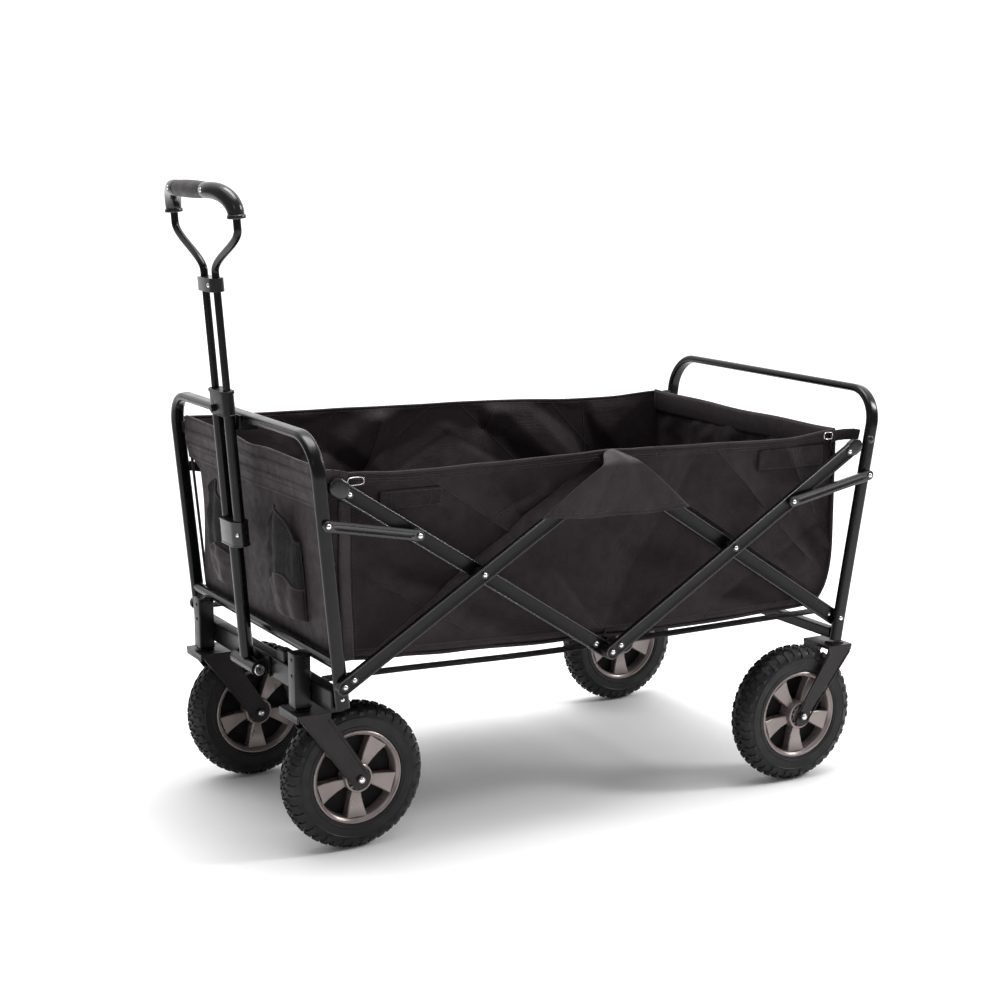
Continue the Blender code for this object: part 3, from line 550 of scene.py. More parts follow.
for side, sign in SIDES.items():
    outer = sign * OUTER_BAR_Y
    inner = sign * INNER_BAR_Y
    rising = "bar_front_rising_" + side
    falling = "bar_front_falling_" + side
    rear_rising = "bar_rear_rising_" + side
    rear_falling = "bar_rear_falling_" + side
    bar_piece(rising, at(0, outer, FRONT_PIVOT_Z), RISING, -0.001, 2 * ARM + 0.001, 0.021, sign)
    bar_piece(rear_rising, at(LOW[0], outer, LOW[1]), RISING, -0.001, 2 * ARM + 0.007, 0.021, sign)
    bar_piece(falling, at(MID[0], inner, MID[1]), -FALLING, -ARM - 0.001, ARM + 0.001, 0.023, sign,
              (-LINK_ON_BAR, 0, ARM))
    bar_piece(rear_falling, at(REAR_MID[0], inner, REAR_MID[1]), -FALLING, -ARM - 0.001, ARM + 0.001, 0.023,
              sign, (-ARM, 0))

    face = sign * (OUTER_BAR_Y + BAR_THICK / 2 - 0.0008)
    inner_face = sign * (INNER_BAR_Y + BAR_THICK / 2 - 0.0008)

    def along(origin, slope, distance, y):
        return at(origin[0] + distance * math.cos(slope), y, origin[1] + distance * math.sin(slope))

    spots = [along((0, FRONT_PIVOT_Z), RISING, distance, face) for distance in (0.0015, 0.0175, ARM, 2 * ARM)]
    fasten(rising, body_of(rising), spots, sign)
    spots = [along(LOW, RISING, distance, face) for distance in (0.0, 0.0165, ARM, 2 * ARM - 0.006)]
    fasten(rear_rising, body_of(rear_rising), spots, sign)
    spots = [along(MID, -FALLING, distance, inner_face) for distance in (-ARM + 0.020, ARM - 0.018)]
    fasten(falling, body_of(falling), spots, sign)
    # Flush, because the rear upright passes over it in the fold.
    sunk = inner_face - sign * 0.0022
    fasten(rear_falling, body_of(rear_falling), [along(REAR_MID, -FALLING, ARM - 0.014, sunk)], sign, False)

    # Moulded caps on the free ends of the bars, and the round bumper that the rear bar's end rests against.
    caps = Build()
    tip = Matrix.Translation(at(MID[0], inner, MID[1])) @ Matrix.Rotation(FALLING, 4, "Y")
    shell = [(0.0105, -0.0044), (0.0124, -0.0036), (0.0126, 0.0040), (0.0112, 0.0052), (0.0080, 0.0056)]
    caps.rings([stadium(-ARM - 0.0005, -ARM + 0.0060, r, sign * d) for r, d in shell], tip)
    caps.make("bar_cap_front_" + side, CAP_PLASTIC, body_of(falling), (), 40, "black_plastic")
    caps = Build()
    tip = Matrix.Translation(at(LOW[0], outer, LOW[1])) @ Matrix.Rotation(-RISING, 4, "Y")
    shell = [(0.0096, -0.0050), (0.0112, -0.0044), (0.0113, 0.0040), (0.0102, 0.0048), (0.0070, 0.0050)]
    caps.rings([stadium(2 * ARM + 0.0030, 2 * ARM + 0.0085, r, sign * d) for r, d in shell], tip)
    caps.make("bar_cap_rear_" + side, CAP_PLASTIC, body_of(rear_rising), (), 40, "black_plastic")

    front_end = (MID[0] - LINK_ON_BAR * math.cos(FALLING), MID[1] + LINK_ON_BAR * math.sin(FALLING))
    rear_reach = ARM + LINK_ON_BAR
    rear_end = (LOW[0] + rear_reach * math.cos(RISING), LOW[1] + rear_reach * math.sin(RISING))
    front_y = sign * 0.2723
    rear_y = sign * (OUTER_BAR_Y + 0.0073)
    link_piece("link_front_" + side, FRONT_LINK_AT, front_end, front_y, sign, 0.0)
    link_piece("link_rear_" + side, REAR_LINK_AT, rear_end, rear_y, sign, 0.0045)
    fasten("link_front_" + side, body_of("link_front_" + side),
           [at(FRONT_LINK_AT[0], front_y + sign * 0.0028, FRONT_LINK_AT[1]),
            at(front_end[0], front_y + sign * 0.0028, front_end[1])], sign, True, 1.08)
    fasten("link_rear_" + side, body_of("link_rear_" + side),
           [at(REAR_LINK_AT[0], rear_y + sign * 0.0028, REAR_LINK_AT[1]),
            at(rear_end[0], rear_y + sign * 0.0028, rear_end[1])], sign, True, 1.0)

    bolts = [at(0.8475, sign * (HALF_WIDTH + 0.0058), 0.2492)]
    fasten("rear_upright_" + side, "rear_frame", bolts, sign, False, 1.0)
    bumper = Build()
    stand = facing(at(0.8915, sign * (HALF_WIDTH + 0.0060), 0.5260), sign)
    dome = [(0.0, 0.0070), (0.0035, 0.0066), (0.0062, 0.0046), (0.0070, 0.0018), (0.0070, -0.0020)]
    bumper.lathe(dome, stand, 20)
    bumper.make("bumper_" + side, CAP_PLASTIC, "rear_frame", (), 50, "black_plastic")


# ---------------------------------------------------------------- wheels
def bare_mesh(obj):
    """Keeps the mesh of a piece that all four wheels share, and removes the piece itself."""
    mesh = obj.data
    bpy.data.objects.remove(obj, do_unlink=True)
    return mesh


def tyre_mesh():
    """Carcass with ringed sidewalls under two rows of blocks and hooked shoulder lugs."""
    build = Build()
    base = 0.1030
    half_profile = [(0.0668, 0.0188), (0.0690, 0.0212), (0.0715, 0.0218), (0.0722, 0.0226), (0.0735, 0.0226),
                    (0.0742, 0.0218), (0.0790, 0.0224), (0.0850, 0.0226), (0.0858, 0.0232), (0.0868, 0.0232),
                    (0.0876, 0.0222), (0.0935, 0.0206), (0.0980, 0.0176), (0.1008, 0.0133), (base, 0.0070),
                    (base + 0.0003, 0.0)]
    profile = [(r, -a) for r, a in half_profile] + [(r, a) for r, a in reversed(half_profile[:-1])]
    profile.append((0.0668, 0.0188))
    profile = profile + [(0.0640, 0.0150), (0.0640, -0.0150), (0.0668, -0.0188)]
    build.lathe(profile, None, 96, cap=False)

    def surface(a):
        """Carcass radius at a distance across the tread."""
        a = abs(a)
        points = [(0.0, base + 0.0003), (0.0070, base), (0.0133, 0.1008), (0.0176, 0.0980), (0.0206, 0.0935),
                  (0.0222, 0.0876)]
        for (a0, r0), (a1, r1) in zip(points, points[1:]):
            if a <= a1:
                return r0 + (r1 - r0) * (a - a0) / (a1 - a0)
        return points[-1][1]

    def lug(outline, height):
        """A block whose outline is (angle in degrees, distance across) points."""
        middle_t = sum(t for t, a in outline) / len(outline)
        middle_a = sum(a for t, a in outline) / len(outline)
        rings = []
        for grow, up in ((1.04, -0.0012), (1.0, height * 0.75), (0.90, height)):
            ring = []
            for t, a in outline:
                t = middle_t + (t - middle_t) * grow
                a = middle_a + (a - middle_a) * grow
                outward = min(abs(a) / 0.0224, 1.0) ** 3
                radius = surface(a) + up * (1 - 0.55 * outward)
                across = a + math.copysign(up * 0.75 * outward, a)
                turn = math.radians(t)
                ring.append((radius * math.cos(turn), radius * math.sin(turn), across))
            rings.append(ring)
        build.rings(rings, None, False, True)

    pitch = 360 / 42
    for i in range(42):
        t = i * pitch
        for s in (-1, 1):
            shift = 0.0 if s > 0 else pitch / 2
            long_lug = i % 2 == 0
            out = 0.0214 if long_lug else 0.0199
            shoulder = ((-2.7, 0.0112), (1.2, 0.0104), (3.0, 0.0146), (2.3, out), (-1.6, out), (-1.2, 0.0154))
            block = ((1.6, 0.0008), (5.3, 0.0018), (6.2, 0.0060), (4.6, 0.0094), (2.1, 0.0088), (2.9, 0.0048))
            for outline in (shoulder, block):
                lug([(t + shift + turn, s * across) for turn, across in outline], 0.0024)
    return bare_mesh(build.make("tyre_source", TYRE, "front_frame", (), 32))


def rim_meshes():
    """Lip, barrel and ribbed hub in one mesh with five dished spokes."""
    build = Build()
    for s in (-1, 1):
        lip = [(0.0655, s * 0.0150), (0.0674, s * 0.0190), (0.0672, s * 0.0206), (0.0660, s * 0.0214),
               (0.0648, s * 0.0212), (0.0641, s * 0.0200), (0.0632, s * 0.0192), (0.0618, s * 0.0184),
               (0.0606, s * 0.0172), (0.0600, s * 0.0150), (0.0594, s * 0.0090), (0.0590, 0.0)]
        build.lathe(lip, None, 72, cap=False)
        hub = [(0.0046, s * 0.0240), (0.0118, s * 0.0240), (0.0124, s * 0.0232), (0.0124, s * 0.0200),
               (0.0172, s * 0.0200), (0.0172, s * 0.0246), (0.0180, s * 0.0254), (0.0196, s * 0.0254),
               (0.0206, s * 0.0246), (0.0212, s * 0.0140), (0.0212, 0.0)]
        build.lathe(hub, None, 48, cap=False)
        for i in range(12):
            turn = Matrix.Rotation(2 * math.pi * (i + 0.5) / 12, 4, "Z")
            low, high = sorted((s * 0.0195, s * 0.0240))
            rib = [[(0.0120, -w, up), (0.0175, -w, up), (0.0175, w, up), (0.0120, w, up)]
                   for w, up in ((0.0007, low), (0.0006, high))]
            build.rings(rib, turn)
    for i in range(5):
        turn = 2 * math.pi * (i / 5) + math.radians(18 + 36)
        rings = []
        for share in (0.0, 0.06, 0.35, 0.70, 0.94, 1.0):
            r = 0.0200 + (0.0605 - 0.0200) * share
            half = 0.0058 + 0.0094 * share
            dish = 0.0165 - 0.0030 * math.sin(math.pi * share) + 0.0005 * share
            edge = 0.0010
            section = [(-half, -dish + edge), (-half + edge, -dish), (half - edge, -dish),
                       (half, -dish + edge), (half, dish - edge), (half - edge, dish),
                       (-half + edge, dish), (-half, dish - edge)]
            ring = []
            for across, deep in section:
                out = math.sqrt(r * r - across * across)
                ring.append((out * math.cos(turn) - across * math.sin(turn),
                             out * math.sin(turn) + across * math.cos(turn), deep))
            rings.append(ring)
        build.rings(rings)
    rim = bare_mesh(build.make("rim_source", RIM_PAINT, "front_frame", (), 35, merge=False))
    # A near-black disc in the wheel's middle plane, seen only through the windows between the spokes: painted
    # shade.
    back = Build()
    disc = [(0.0212, -0.0006), (0.0590, -0.0006), (0.0590, 0.0006), (0.0212, 0.0006)]
    back.lathe(disc, None, 60, cap=False)
    return rim, bare_mesh(back.make("rim_window_shade_source", WINDOW_SHADE, "front_frame", (), 35))


tyre_data = tyre_mesh()
rim_data, window_shade_data = rim_meshes()
for end in ("front", "rear"):
    for side, sign in SIDES.items():
        name = end + "_" + side
        hub = facing(at(AXLE_X[end], sign * AXLE_Y[end], WHEEL_RADIUS), -1)
        # Each wheel: tyre, rim, and the web, a near-black disc of painted shade behind the spokes.
        for kind, mesh, node_name in (("tread", tyre_data, "tyre_" + name),
                                      ("spokes", rim_data, "rim_" + name), ("web", window_shade_data, None)):
            obj = bpy.data.objects.new("wheel_" + kind + "_" + name, mesh)
            bpy.context.scene.collection.objects.link(obj)
            obj.matrix_world = hub
            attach(obj, "wheel_" + name)
            if node_name:
                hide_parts(node_name)


# ---------------------------------------------------------------- pull handle
HANDLE = Matrix.Translation(at(HANDLE_X, 0, HANDLE_Z)) @ Matrix.Rotation(-HANDLE_TILT, 4, "Y")
GRIP_UP = (GRIP_Z - HANDLE_Z) / math.cos(HANDLE_TILT)


def level(z):
    return (z - HANDLE_Z) / math.cos(HANDLE_TILT)


def loop_half(up):
    """Distance from the handle's middle to each inner tube at a height."""
    share = (up - level(0.800)) / (level(0.862) - level(0.800))
    return TWIN_Y + (LOOP_HALF - TWIN_Y) * smooth(share)


for side, sign in SIDES.items():
    tube = Build()
    path = [(0, sign * TWIN_Y, level(0.582)), (0, sign * TWIN_Y, level(0.700))]
    for i in range(33):
        up = level(0.785) + (level(0.876) - level(0.785)) * i / 32
        path.append((0, sign * loop_half(up), up))
    tube.sweep(path, circle(0.0055, 18), HANDLE)
    tube.make("loop_tube_" + side, TUBE_PAINT, "handle_upper", ("handle_inner_tube_" + side,), 40,
              "powder_black")

    cover = Build()
    cover_low = level(0.878)
    bulge = 0.004
    radius_y = LOOP_HALF - GRIP_HALF - 0.0003 - 0.016
    radius_z = GRIP_UP - cover_low - bulge
    points = [(0, sign * LOOP_HALF, cover_low - 0.001), (0, sign * LOOP_HALF, cover_low + 0.0025)]
    radii = [0.0112, 0.0116]
    for i in range(17):
        turn = math.radians(90 * i / 16)
        bend = 1 - math.cos(turn)
        points.append((-GRIP_FORWARD * bend, sign * (LOOP_HALF - radius_y * bend),
                       cover_low + bulge + radius_z * math.sin(turn)))
        radii.append(0.0113 + 0.0010 * math.sin(turn * 2))
    points.append((-GRIP_FORWARD, sign * (GRIP_HALF + 0.004), GRIP_UP))
    points.append((-GRIP_FORWARD, sign * (GRIP_HALF + 0.0006), GRIP_UP))
    radii += [0.0116, 0.0108]
    cover.sweep(points, [circle(r, 20) for r in radii], HANDLE)
    ring = Matrix.Translation((0, sign * LOOP_HALF, cover_low - 0.0015))
    flange = [(0.0100, 0), (0.0126, 0.0004), (0.0130, 0.0014), (0.0130, 0.0044), (0.0120, 0.0056),
              (0.0108, 0.0060)]
    cover.lathe(flange, HANDLE @ ring, 24)
    cover.make("grip_cover_" + side, CAP_PLASTIC, "handle_upper", ("grip_corner_" + side,), 45,
               "black_plastic")

grip = Build()
rings = []
for i in range(49):
    y = -GRIP_HALF + 2 * GRIP_HALF * i / 48
    share = y / GRIP_HALF
    radius = 0.0122 - 0.0012 * share * share + (0.00025 if i % 4 < 2 else 0.0)
    if i in (0, 48):
        radius -= 0.0010
    rings.append([(-GRIP_FORWARD + a, y, GRIP_UP + b) for a, b in circle(radius, 28)])
grip.rings(rings, HANDLE)
grip.make("grip_sleeve", GRIP_FOAM, "handle_upper", ("handle_grip",), 60, "soft_grip")


def on_handle(name, body, spots, turn=0.0):
    """Screw heads that look forward from the handle, or turn degrees aside: (along, across, forward)."""
    scale = 0.9
    heads = Build()
    for up, y, forward in spots:
        aside = Matrix.Rotation(math.radians(turn), 4, "Z")
        stand = HANDLE @ Matrix.Translation((-forward, y, up)) @ aside @ Matrix.Rotation(-math.pi / 2, 4, "Y")
        heads.lathe([(r * scale, h * scale) for r, h in RIVET], stand, 18)
    heads.make(name, ZINC, body, (), 50, "zinc_bolt")


on_handle("collar_screw", "handle_lower", [(level(0.4290), -0.0285, 0.0070)], 57)
on_handle("clamp_screw", "handle_upper", [(level(0.7824), -0.0175, 0.0102)])
spots = [(GRIP_UP + 0.001, s * (GRIP_HALF + 0.012), GRIP_FORWARD + 0.0108) for s in (-1, 1)]
on_handle("grip_screws", "handle_upper", spots)


def moulding(name, mat, half, bands, inset, caps):
    """Bands round the handle, each with (low, high, radius) and its edges rounded off by inset."""
    trim = Build()
    for low, high, r in bands:
        plan = [(level(low), r - inset), (level(low) + 0.0006, r), (level(high) - 0.0006, r),
                (level(high), r - inset)]
        rings = [[(z, x, up) for x, _, z in stadium(-half, half, radius, 0)] for up, radius in plan]
        trim.rings(rings, HANDLE, caps, caps)
    trim.make(name, mat, "handle_lower", (), 40, "black_plastic")


moulding("collar_bands", CAP_PLASTIC, 0.018, ((0.4110, 0.4140, 0.0140), (0.4450, 0.4480, 0.0140)), 0.0012,
         True)
moulding("block_bands", BLACK_PLASTIC, TWIN_Y, ((0.5985, 0.6010, 0.0102), (0.6300, 0.6345, 0.0106)), 0.0008,
         False)


# ---------------------------------------------------------------- cloth
NEAR_RIM = [(-0.02, 0.5520), (0.03, 0.5430), (0.11, 0.5386), (0.38, 0.5400), (0.43, 0.5418), (0.48, 0.5392),
            (0.75, 0.5330), (0.8445, 0.5400)]
FAR_RIM = [(-0.02, 0.5600), (0.05, 0.5572), (0.20, 0.5545), (0.43, 0.5500), (0.75, 0.5385), (0.8445, 0.5430)]
BOTTOM = [(-0.02, 0.2870), (0.085, 0.2790), (0.184, 0.2735), (0.35, 0.2660), (0.50, 0.2615), (0.62, 0.2605),
          (0.77, 0.2640), (0.8445, 0.2665)]
REAR_CORNER = (0.030, 0.085)  # how far the rear corner of the floor runs forward and up
FRONT_RIM_Z = 0.5570
FRONT_SEAM_Z = 0.2865  # the front panel's seam with the floor
REAR_SEAM_Z = 0.3260   # the rear panel's lower seam, above the floor's round corner


def front_x(z):
    return 0.0085 - FRONT_LEAN * (z - BAG_FLOOR_Z)


def rim_z(x, sign):
    return table(NEAR_RIM if sign < 0 else FAR_RIM,
                 x) + 0.0009 * noise.noise(Vector((x * 14, sign * 3.0, 0.5)))


def bottom_z(x):
    """Height of the floor seam, which turns up in a round corner at the rear."""
    over = min(max((x - BAG_REAR_X + REAR_CORNER[0]) / REAR_CORNER[0], 0.0), 0.985)
    return table(BOTTOM, x) + REAR_CORNER[1] * (1 - math.sqrt(1 - over * over))


def rear_x(z):
    """The tub's rear edge, which runs forward into that corner."""
    risen = min(max((z - BOTTOM[-1][1]) / REAR_CORNER[1], 0.02), 1.0)
    return BAG_REAR_X - REAR_CORNER[0] * (1 - math.sqrt(1 - (1 - risen) ** 2))


# Fold lines that packing leaves in each side, as (x0, z0, x1, z1, depth, reach).
CREASES = {
    -1: [(0.430, 0.548, 0.060, 0.300, 0.0090, 0.055), (0.430, 0.548, 0.800, 0.300, 0.0085, 0.050),
         (0.620, 0.550, 0.430, 0.270, -0.0070, 0.050), (0.600, 0.552, 0.815, 0.330, 0.0090, 0.034),
         (0.230, 0.552, 0.430, 0.280, -0.0060, 0.050), (0.240, 0.460, 0.330, 0.500, 0.0050, 0.014),
         (0.240, 0.285, 0.050, 0.400, 0.0075, 0.040), (0.610, 0.275, 0.830, 0.400, -0.0065, 0.045),
         (0.735, 0.550, 0.842, 0.360, 0.0065, 0.024), (0.120, 0.545, 0.300, 0.420, 0.0050, 0.030)],
    1: [(0.430, 0.570, 0.200, 0.400, 0.0150, 0.050), (0.430, 0.570, 0.620, 0.390, 0.0150, 0.045),
        (0.320, 0.570, 0.255, 0.390, -0.0090, 0.034), (0.600, 0.570, 0.760, 0.400, 0.0140, 0.038),
        (0.250, 0.570, 0.110, 0.420, 0.0120, 0.040), (0.530, 0.570, 0.450, 0.380, -0.0090, 0.034),
        (0.120, 0.560, 0.300, 0.420, 0.0070, 0.030), (0.690, 0.570, 0.700, 0.420, 0.0060, 0.022),
        (0.430, 0.500, 0.060, 0.300, 0.0070, 0.050), (0.430, 0.500, 0.800, 0.300, 0.0070, 0.050)],
}
PRESSED = (0.0014, 0.0055)


def crease(x, z, sign):
    """Ridges with flat flanks, sharp along the fold line."""
    total = 0.0
    for x0, z0, x1, z1, depth, reach in CREASES[sign]:
        dx = x1 - x0
        dz = z1 - z0
        length = math.hypot(dx, dz)
        share = ((x - x0) * dx + (z - z0) * dz) / (length * length)
        if -0.1 < share < 1.1:
            distance = abs((x - x0) * dz - (z - z0) * dx) / length
            inside = smooth(min(share, 1 - share) * 5 + 0.5)
            total += depth * inside * max(0.0, 1 - distance / reach)
            total += math.copysign(PRESSED[0], depth) * inside * max(0.0, 1 - distance / PRESSED[1])
    return total


def wrinkle(x, z, seed, size):
    point = Vector((x * 9, z * 11, seed))
    return size * (noise.noise(point) + 0.45 * noise.noise(point * 2.7))


def front_tuck(z):
    """How far the cloth is drawn in at the far front corner, from under the header band down to the floor."""
    return 0.036 * smooth((0.503 - z) / 0.020) * smooth((z - 0.286) / 0.170)


def side_y(x, z, sign):
    """Distance of a side wall from the wagon's middle: it bows in a little between rim and floor."""
    low = bottom_z(x)
    high = rim_z(x, sign)
    share = min(max((z - low) / (high - low), 0.0), 1.0)
    bow = 0.0150 * math.sin(math.pi * share) * math.sin(math.pi * min(max(x / BAG_REAR_X, 0.02), 0.98)) ** 0.5
    free = smooth(share * 5) * smooth((1 - share) * 14)
    move = (crease(x, z, sign) - 0.003 + wrinkle(x, z, 4.0 * sign, 0.0028)) * free
    tuck = front_tuck(z) * math.exp(-max(x, 0.0) / 0.045) if sign > 0 else 0.0
    return min(BAG_HALF + 0.0006, BAG_HALF - bow + move) - tuck


def tub_shell():
    """The tub as one lofted sheet: up one side, round the floor's corners, and up the other."""
    rows = []
    stations = 190
    side_steps = 56
    floor_steps = 36
    corner = 0.016
    for i in range(stations + 1):
        share = 1 - (1 - i / stations) ** 1.5
        for sign in (-1, 1):
            column = []
            for j in range(side_steps + 1):
                t = j / side_steps
                x_mid = front_x(0.42) + (BAG_REAR_X - front_x(0.42)) * share
                low = bottom_z(x_mid) + corner
                high = rim_z(x_mid, sign)
                z = high + (low - high) * t
                x = front_x(z) + (BAG_REAR_X - front_x(z)) * share
                column.append((x, sign * side_y(x, z, sign), z))
            last = column[-1]
            for j in range(1, 6):
                turn = math.radians(90 * j / 5)
                y = abs(last[1]) - corner * (1 - math.cos(turn))
                z = last[2] - corner * math.sin(turn)
                column.append((front_x(z) + (BAG_REAR_X - front_x(z)) * share, sign * y, z))
            if sign < 0:
                row = column
                near_last = column[-1]
            else:
                far_last = column[-1]
                for j in range(1, floor_steps):
                    t = j / floor_steps
                    y = near_last[1] + (far_last[1] - near_last[1]) * t
                    x = near_last[0]
                    sag = 0.0016 * math.sin(math.pi * t) + 0.0010 * noise.noise(Vector((x * 8, y * 8, 2.0)))
                    row.append((x, y, near_last[2] - sag * smooth(share * 8)))
                row += column[::-1]
        rows.append([at(*p) for p in row])
    build = Build()
    build.grid(rows)
    return build


def sewn(build, name, mat, body="front_frame", replaces=(), slot="polyester", merge=True):
    """Makes a piece of the tub, shaded smooth except across sharp folds."""
    return build.make(name, mat, body, replaces, 60, slot, merge)


def soften(obj, thickness, offset=0):
    """Gives a sheet its cloth's thickness."""
    solid = obj.modifiers.new("cloth_thickness", "SOLIDIFY")
    solid.thickness = thickness
    solid.offset = offset
    return obj


def settle(obj):
    """Applies the piece's modifiers."""
    graph = bpy.context.evaluated_depsgraph_get()
    mesh = bpy.data.meshes.new_from_object(obj.evaluated_get(graph))
    obj.modifiers.clear()
    obj.data = mesh
    return obj


def folds(obj):
    """Applies the piece's modifiers and gives it a mesh of its own."""
    settle(obj)
    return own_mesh(obj)


tub = sewn(tub_shell(), "tub", CLOTH, replaces=("bag",))
soften(tub, 0.0018, -1)
folds(tub)


def panel(rows_of, ny, nz):
    build = Build()
    build.grid([[rows_of(i / ny, j / nz) for j in range(nz + 1)] for i in range(ny + 1)])
    return build


def front_rim(y):
    dip = 0.0035 * math.exp(-(y / 0.05) ** 2)
    return FRONT_RIM_Z + 0.0035 * (y / BAG_HALF) + 0.0012 * noise.noise(Vector((y * 9, 1.0, 0.0))) - dip


def front_relief(y, z):
    """Soft bulges of the front panel, outward (-X)."""
    share = min(max((z - 0.287) / 0.27, 0), 1)
    bow = 0.0035 * math.cos(math.pi * y / (2 * BAG_HALF)) * math.sin(math.pi * share)
    pinch = 0.0025 * math.exp(-((y + 0.02) / 0.030) ** 2) * smooth((z - 0.44) / 0.08)
    return bow + pinch + wrinkle(y, z, 9.0, 0.0016)


def drawn_in(y, z):
    """The panel's far edge follows the tuck of the far side."""
    return y - front_tuck(z) * smooth((y / BAG_HALF - 0.35) / 0.65)


def front_point(u, v):
    y = -BAG_HALF + 0.0012 + 2 * (BAG_HALF - 0.0012) * u
    z = FRONT_SEAM_Z + (front_rim(y) - FRONT_SEAM_Z) * v
    y = drawn_in(y, z)
    return at(front_x(z) - front_relief(y, z) * smooth(min(u, 1 - u) * 12), y, z)


front = sewn(panel(front_point, 70, 44), "front_panel", CLOTH)
soften(front, 0.0018)
settle(front)


def band_point(u, v):
    y = -BAG_HALF - 0.0008 + 2 * (BAG_HALF + 0.0008) * u
    high = front_rim(y) + 0.0016
    low = 0.4985 + 0.0010 * noise.noise(Vector((y * 12, 7.0, 0.0)))
    z = low + (high - low) * v
    ridge = 0.0016 * math.exp(-((z - 0.5385) / 0.0035) ** 2)
    ridge += 0.0012 * math.exp(-((z - 0.5200) / 0.0030) ** 2)
    lift = 0.0022 + ridge + 0.0016 * smooth(v * 3) * (1 - 0.4 * v)
    return at(front_x(z) - front_relief(y, z) * smooth(min(u, 1 - u) * 12) - lift, y, z)


band = sewn(panel(band_point, 90, 26), "front_band", CLOTH_BAND)
soften(band, 0.0016)
settle(band)


def rear_rim(y):
    across = y / BAG_HALF
    return 0.5405 + 0.0025 * across ** 2 + 0.0016 * across - 0.0008 * math.cos(y * 30)


def rear_point(u, v):
    y = -BAG_HALF + 0.0012 + 2 * (BAG_HALF - 0.0012) * u
    z = REAR_SEAM_Z + (rear_rim(y) - REAR_SEAM_Z) * v
    bow = 0.0045 * math.sin(math.pi * u) * math.sin(math.pi * v)
    wave = wrinkle(y * 1.7, z * 1.6, 21.0, 0.0062) * smooth(min(u, 1 - u) * 9) * smooth(min(v, 1 - v) * 5)
    return at(rear_x(z) - 0.0006 - bow + wave, y, z)


rear = sewn(panel(rear_point, 70, 40), "rear_panel", CLOTH, "rear_frame")
soften(rear, 0.0018)
settle(rear)


def rear_band_point(u, v):
    p = rear_point(u, 1.0)
    z = rear_rim(-BAG_HALF + 2 * BAG_HALF * u) + 0.0014 - 0.034 * (1 - v)
    return Vector((p.x - 0.0030 - 0.0014 * math.sin(math.pi * v), p.y, z))


rear_band = sewn(panel(rear_band_point, 70, 10), "rear_band", CLOTH_BAND, "rear_frame")
soften(rear_band, 0.0016)
settle(rear_band)


def line(function, count):
    return [function(i / count) for i in range(count + 1)]


# Bindings: rolled hems along the rims and down the corners.
def hem(name, points, body, radius=0.0021, mat=CLOTH_BAND, fold=False):
    build = Build()
    build.sweep(points, circle(radius, 10, 0.75))
    obj = sewn(build, name, mat, body)
    return folds(obj) if fold else obj


for side, sign in SIDES.items():
    points = []
    for i in range(101):
        x = front_x(0.545) + 0.002 + (BAG_REAR_X - 0.002 - front_x(0.545)) * i / 100
        z = rim_z(x, sign)
        points.append(at(x, sign * (side_y(x, z, sign) - 0.0009), z + 0.0004))
    hem("rim_hem_" + side, points, "front_frame", 0.0024, CLOTH_BAND, True)
    points = line(lambda t: at(front_x(0.290 + 0.263 * t) + 0.001, sign * (BAG_HALF - 0.0003),
                               0.290 + 0.263 * t), 30)
    hem("front_corner_hem_" + side, points, "front_frame", 0.0022, CLOTH_BAND)
    # The rear seam turns forward under the wall, along the floor's round corner.
    points = []
    seam_z = BOTTOM[-1][1] + 0.0150
    seam_x = BAG_REAR_X - 0.0004
    for i in range(25):
        turn = math.radians(82 * (1 - i / 24))
        points.append(at(seam_x - REAR_CORNER[0] * (1 - math.cos(turn)), sign * (BAG_HALF - 0.0012),
                         seam_z + REAR_CORNER[1] * (1 - math.sin(turn))))
    corner_top = seam_z + REAR_CORNER[1]
    points += [at(seam_x, sign * (BAG_HALF - 0.0010), corner_top + (0.5390 - corner_top) * i / 20)
               for i in range(1, 21)]
    hem("rear_corner_hem_" + side, points, "front_frame", 0.0024, CLOTH_BAND, True)
    # The floor seam's welt, which shows as the tub's lower edge.
    points = []
    for i in range(101):
        x = 0.008 + (BAG_REAR_X - 0.020 - 0.008) * i / 100
        points.append(at(x, sign * (BAG_HALF - 0.0040), bottom_z(x) + 0.0060))
    hem("floor_welt_" + side, points, "front_frame", 0.0022, WEBBING, True)

    # The fold lines themselves, pressed sharp in the coated cloth and showing on both faces.
    pressed = Build()
    for x0, z0, x1, z1, depth, reach in CREASES[sign]:
        points = []
        for i in range(31):
            x = x0 + (x1 - x0) * i / 30
            z = min(z0 + (z1 - z0) * i / 30, rim_z(x, sign) - 0.004)
            points.append(at(x, sign * (side_y(x, z, sign) - 0.0009), z))
        pressed.sweep(points, circle(0.0014, 8))
    folds(sewn(pressed, "pressed_folds_" + side, CLOTH))

points = [front_point(i / 60, 1.0) for i in range(61)]
points = [Vector((p.x, p.y, p.z + 0.0012)) for p in points]
hem("front_rim_hem", points, "front_frame", 0.0027)
points = [rear_point(i / 60, 1.0) for i in range(61)]
points = [Vector((p.x - 0.001, p.y, p.z + 0.0012)) for p in points]
hem("rear_rim_hem", points, "rear_frame", 0.0028)
points = [front_point(i / 60, 0.0) for i in range(61)]
points = [Vector((p.x - 0.0006, p.y, p.z + 0.001)) for p in points]
hem("front_floor_welt", points, "front_frame", 0.0028, WEBBING)


def stitches(build, points, out, length=0.0032, gap=0.0016):
    """A row of short raised stitches along a line of points; out lifts them off the cloth."""
    width = 0.00045
    out = Vector(out).normalized()
    travelled = 0.0
    period = length + gap
    for a, b in zip(points, points[1:]):
        way = b - a
        distance = way.length
        way = way.normalized()
        side_way = way.cross(out).normalized()
        t = (-travelled) % period
        while t + length <= distance + 1e-9:
            start = a + way * t + out * 0.0005
            end = a + way * (t + length) + out * 0.0005
            mid = (start + end) / 2 + out * 0.0003
            build.rings([[p + side_way * width, p + out * width, p - side_way * width] for p in (start, mid,
                                                                                                 end)])
            t += period
        travelled = (travelled + distance) % period


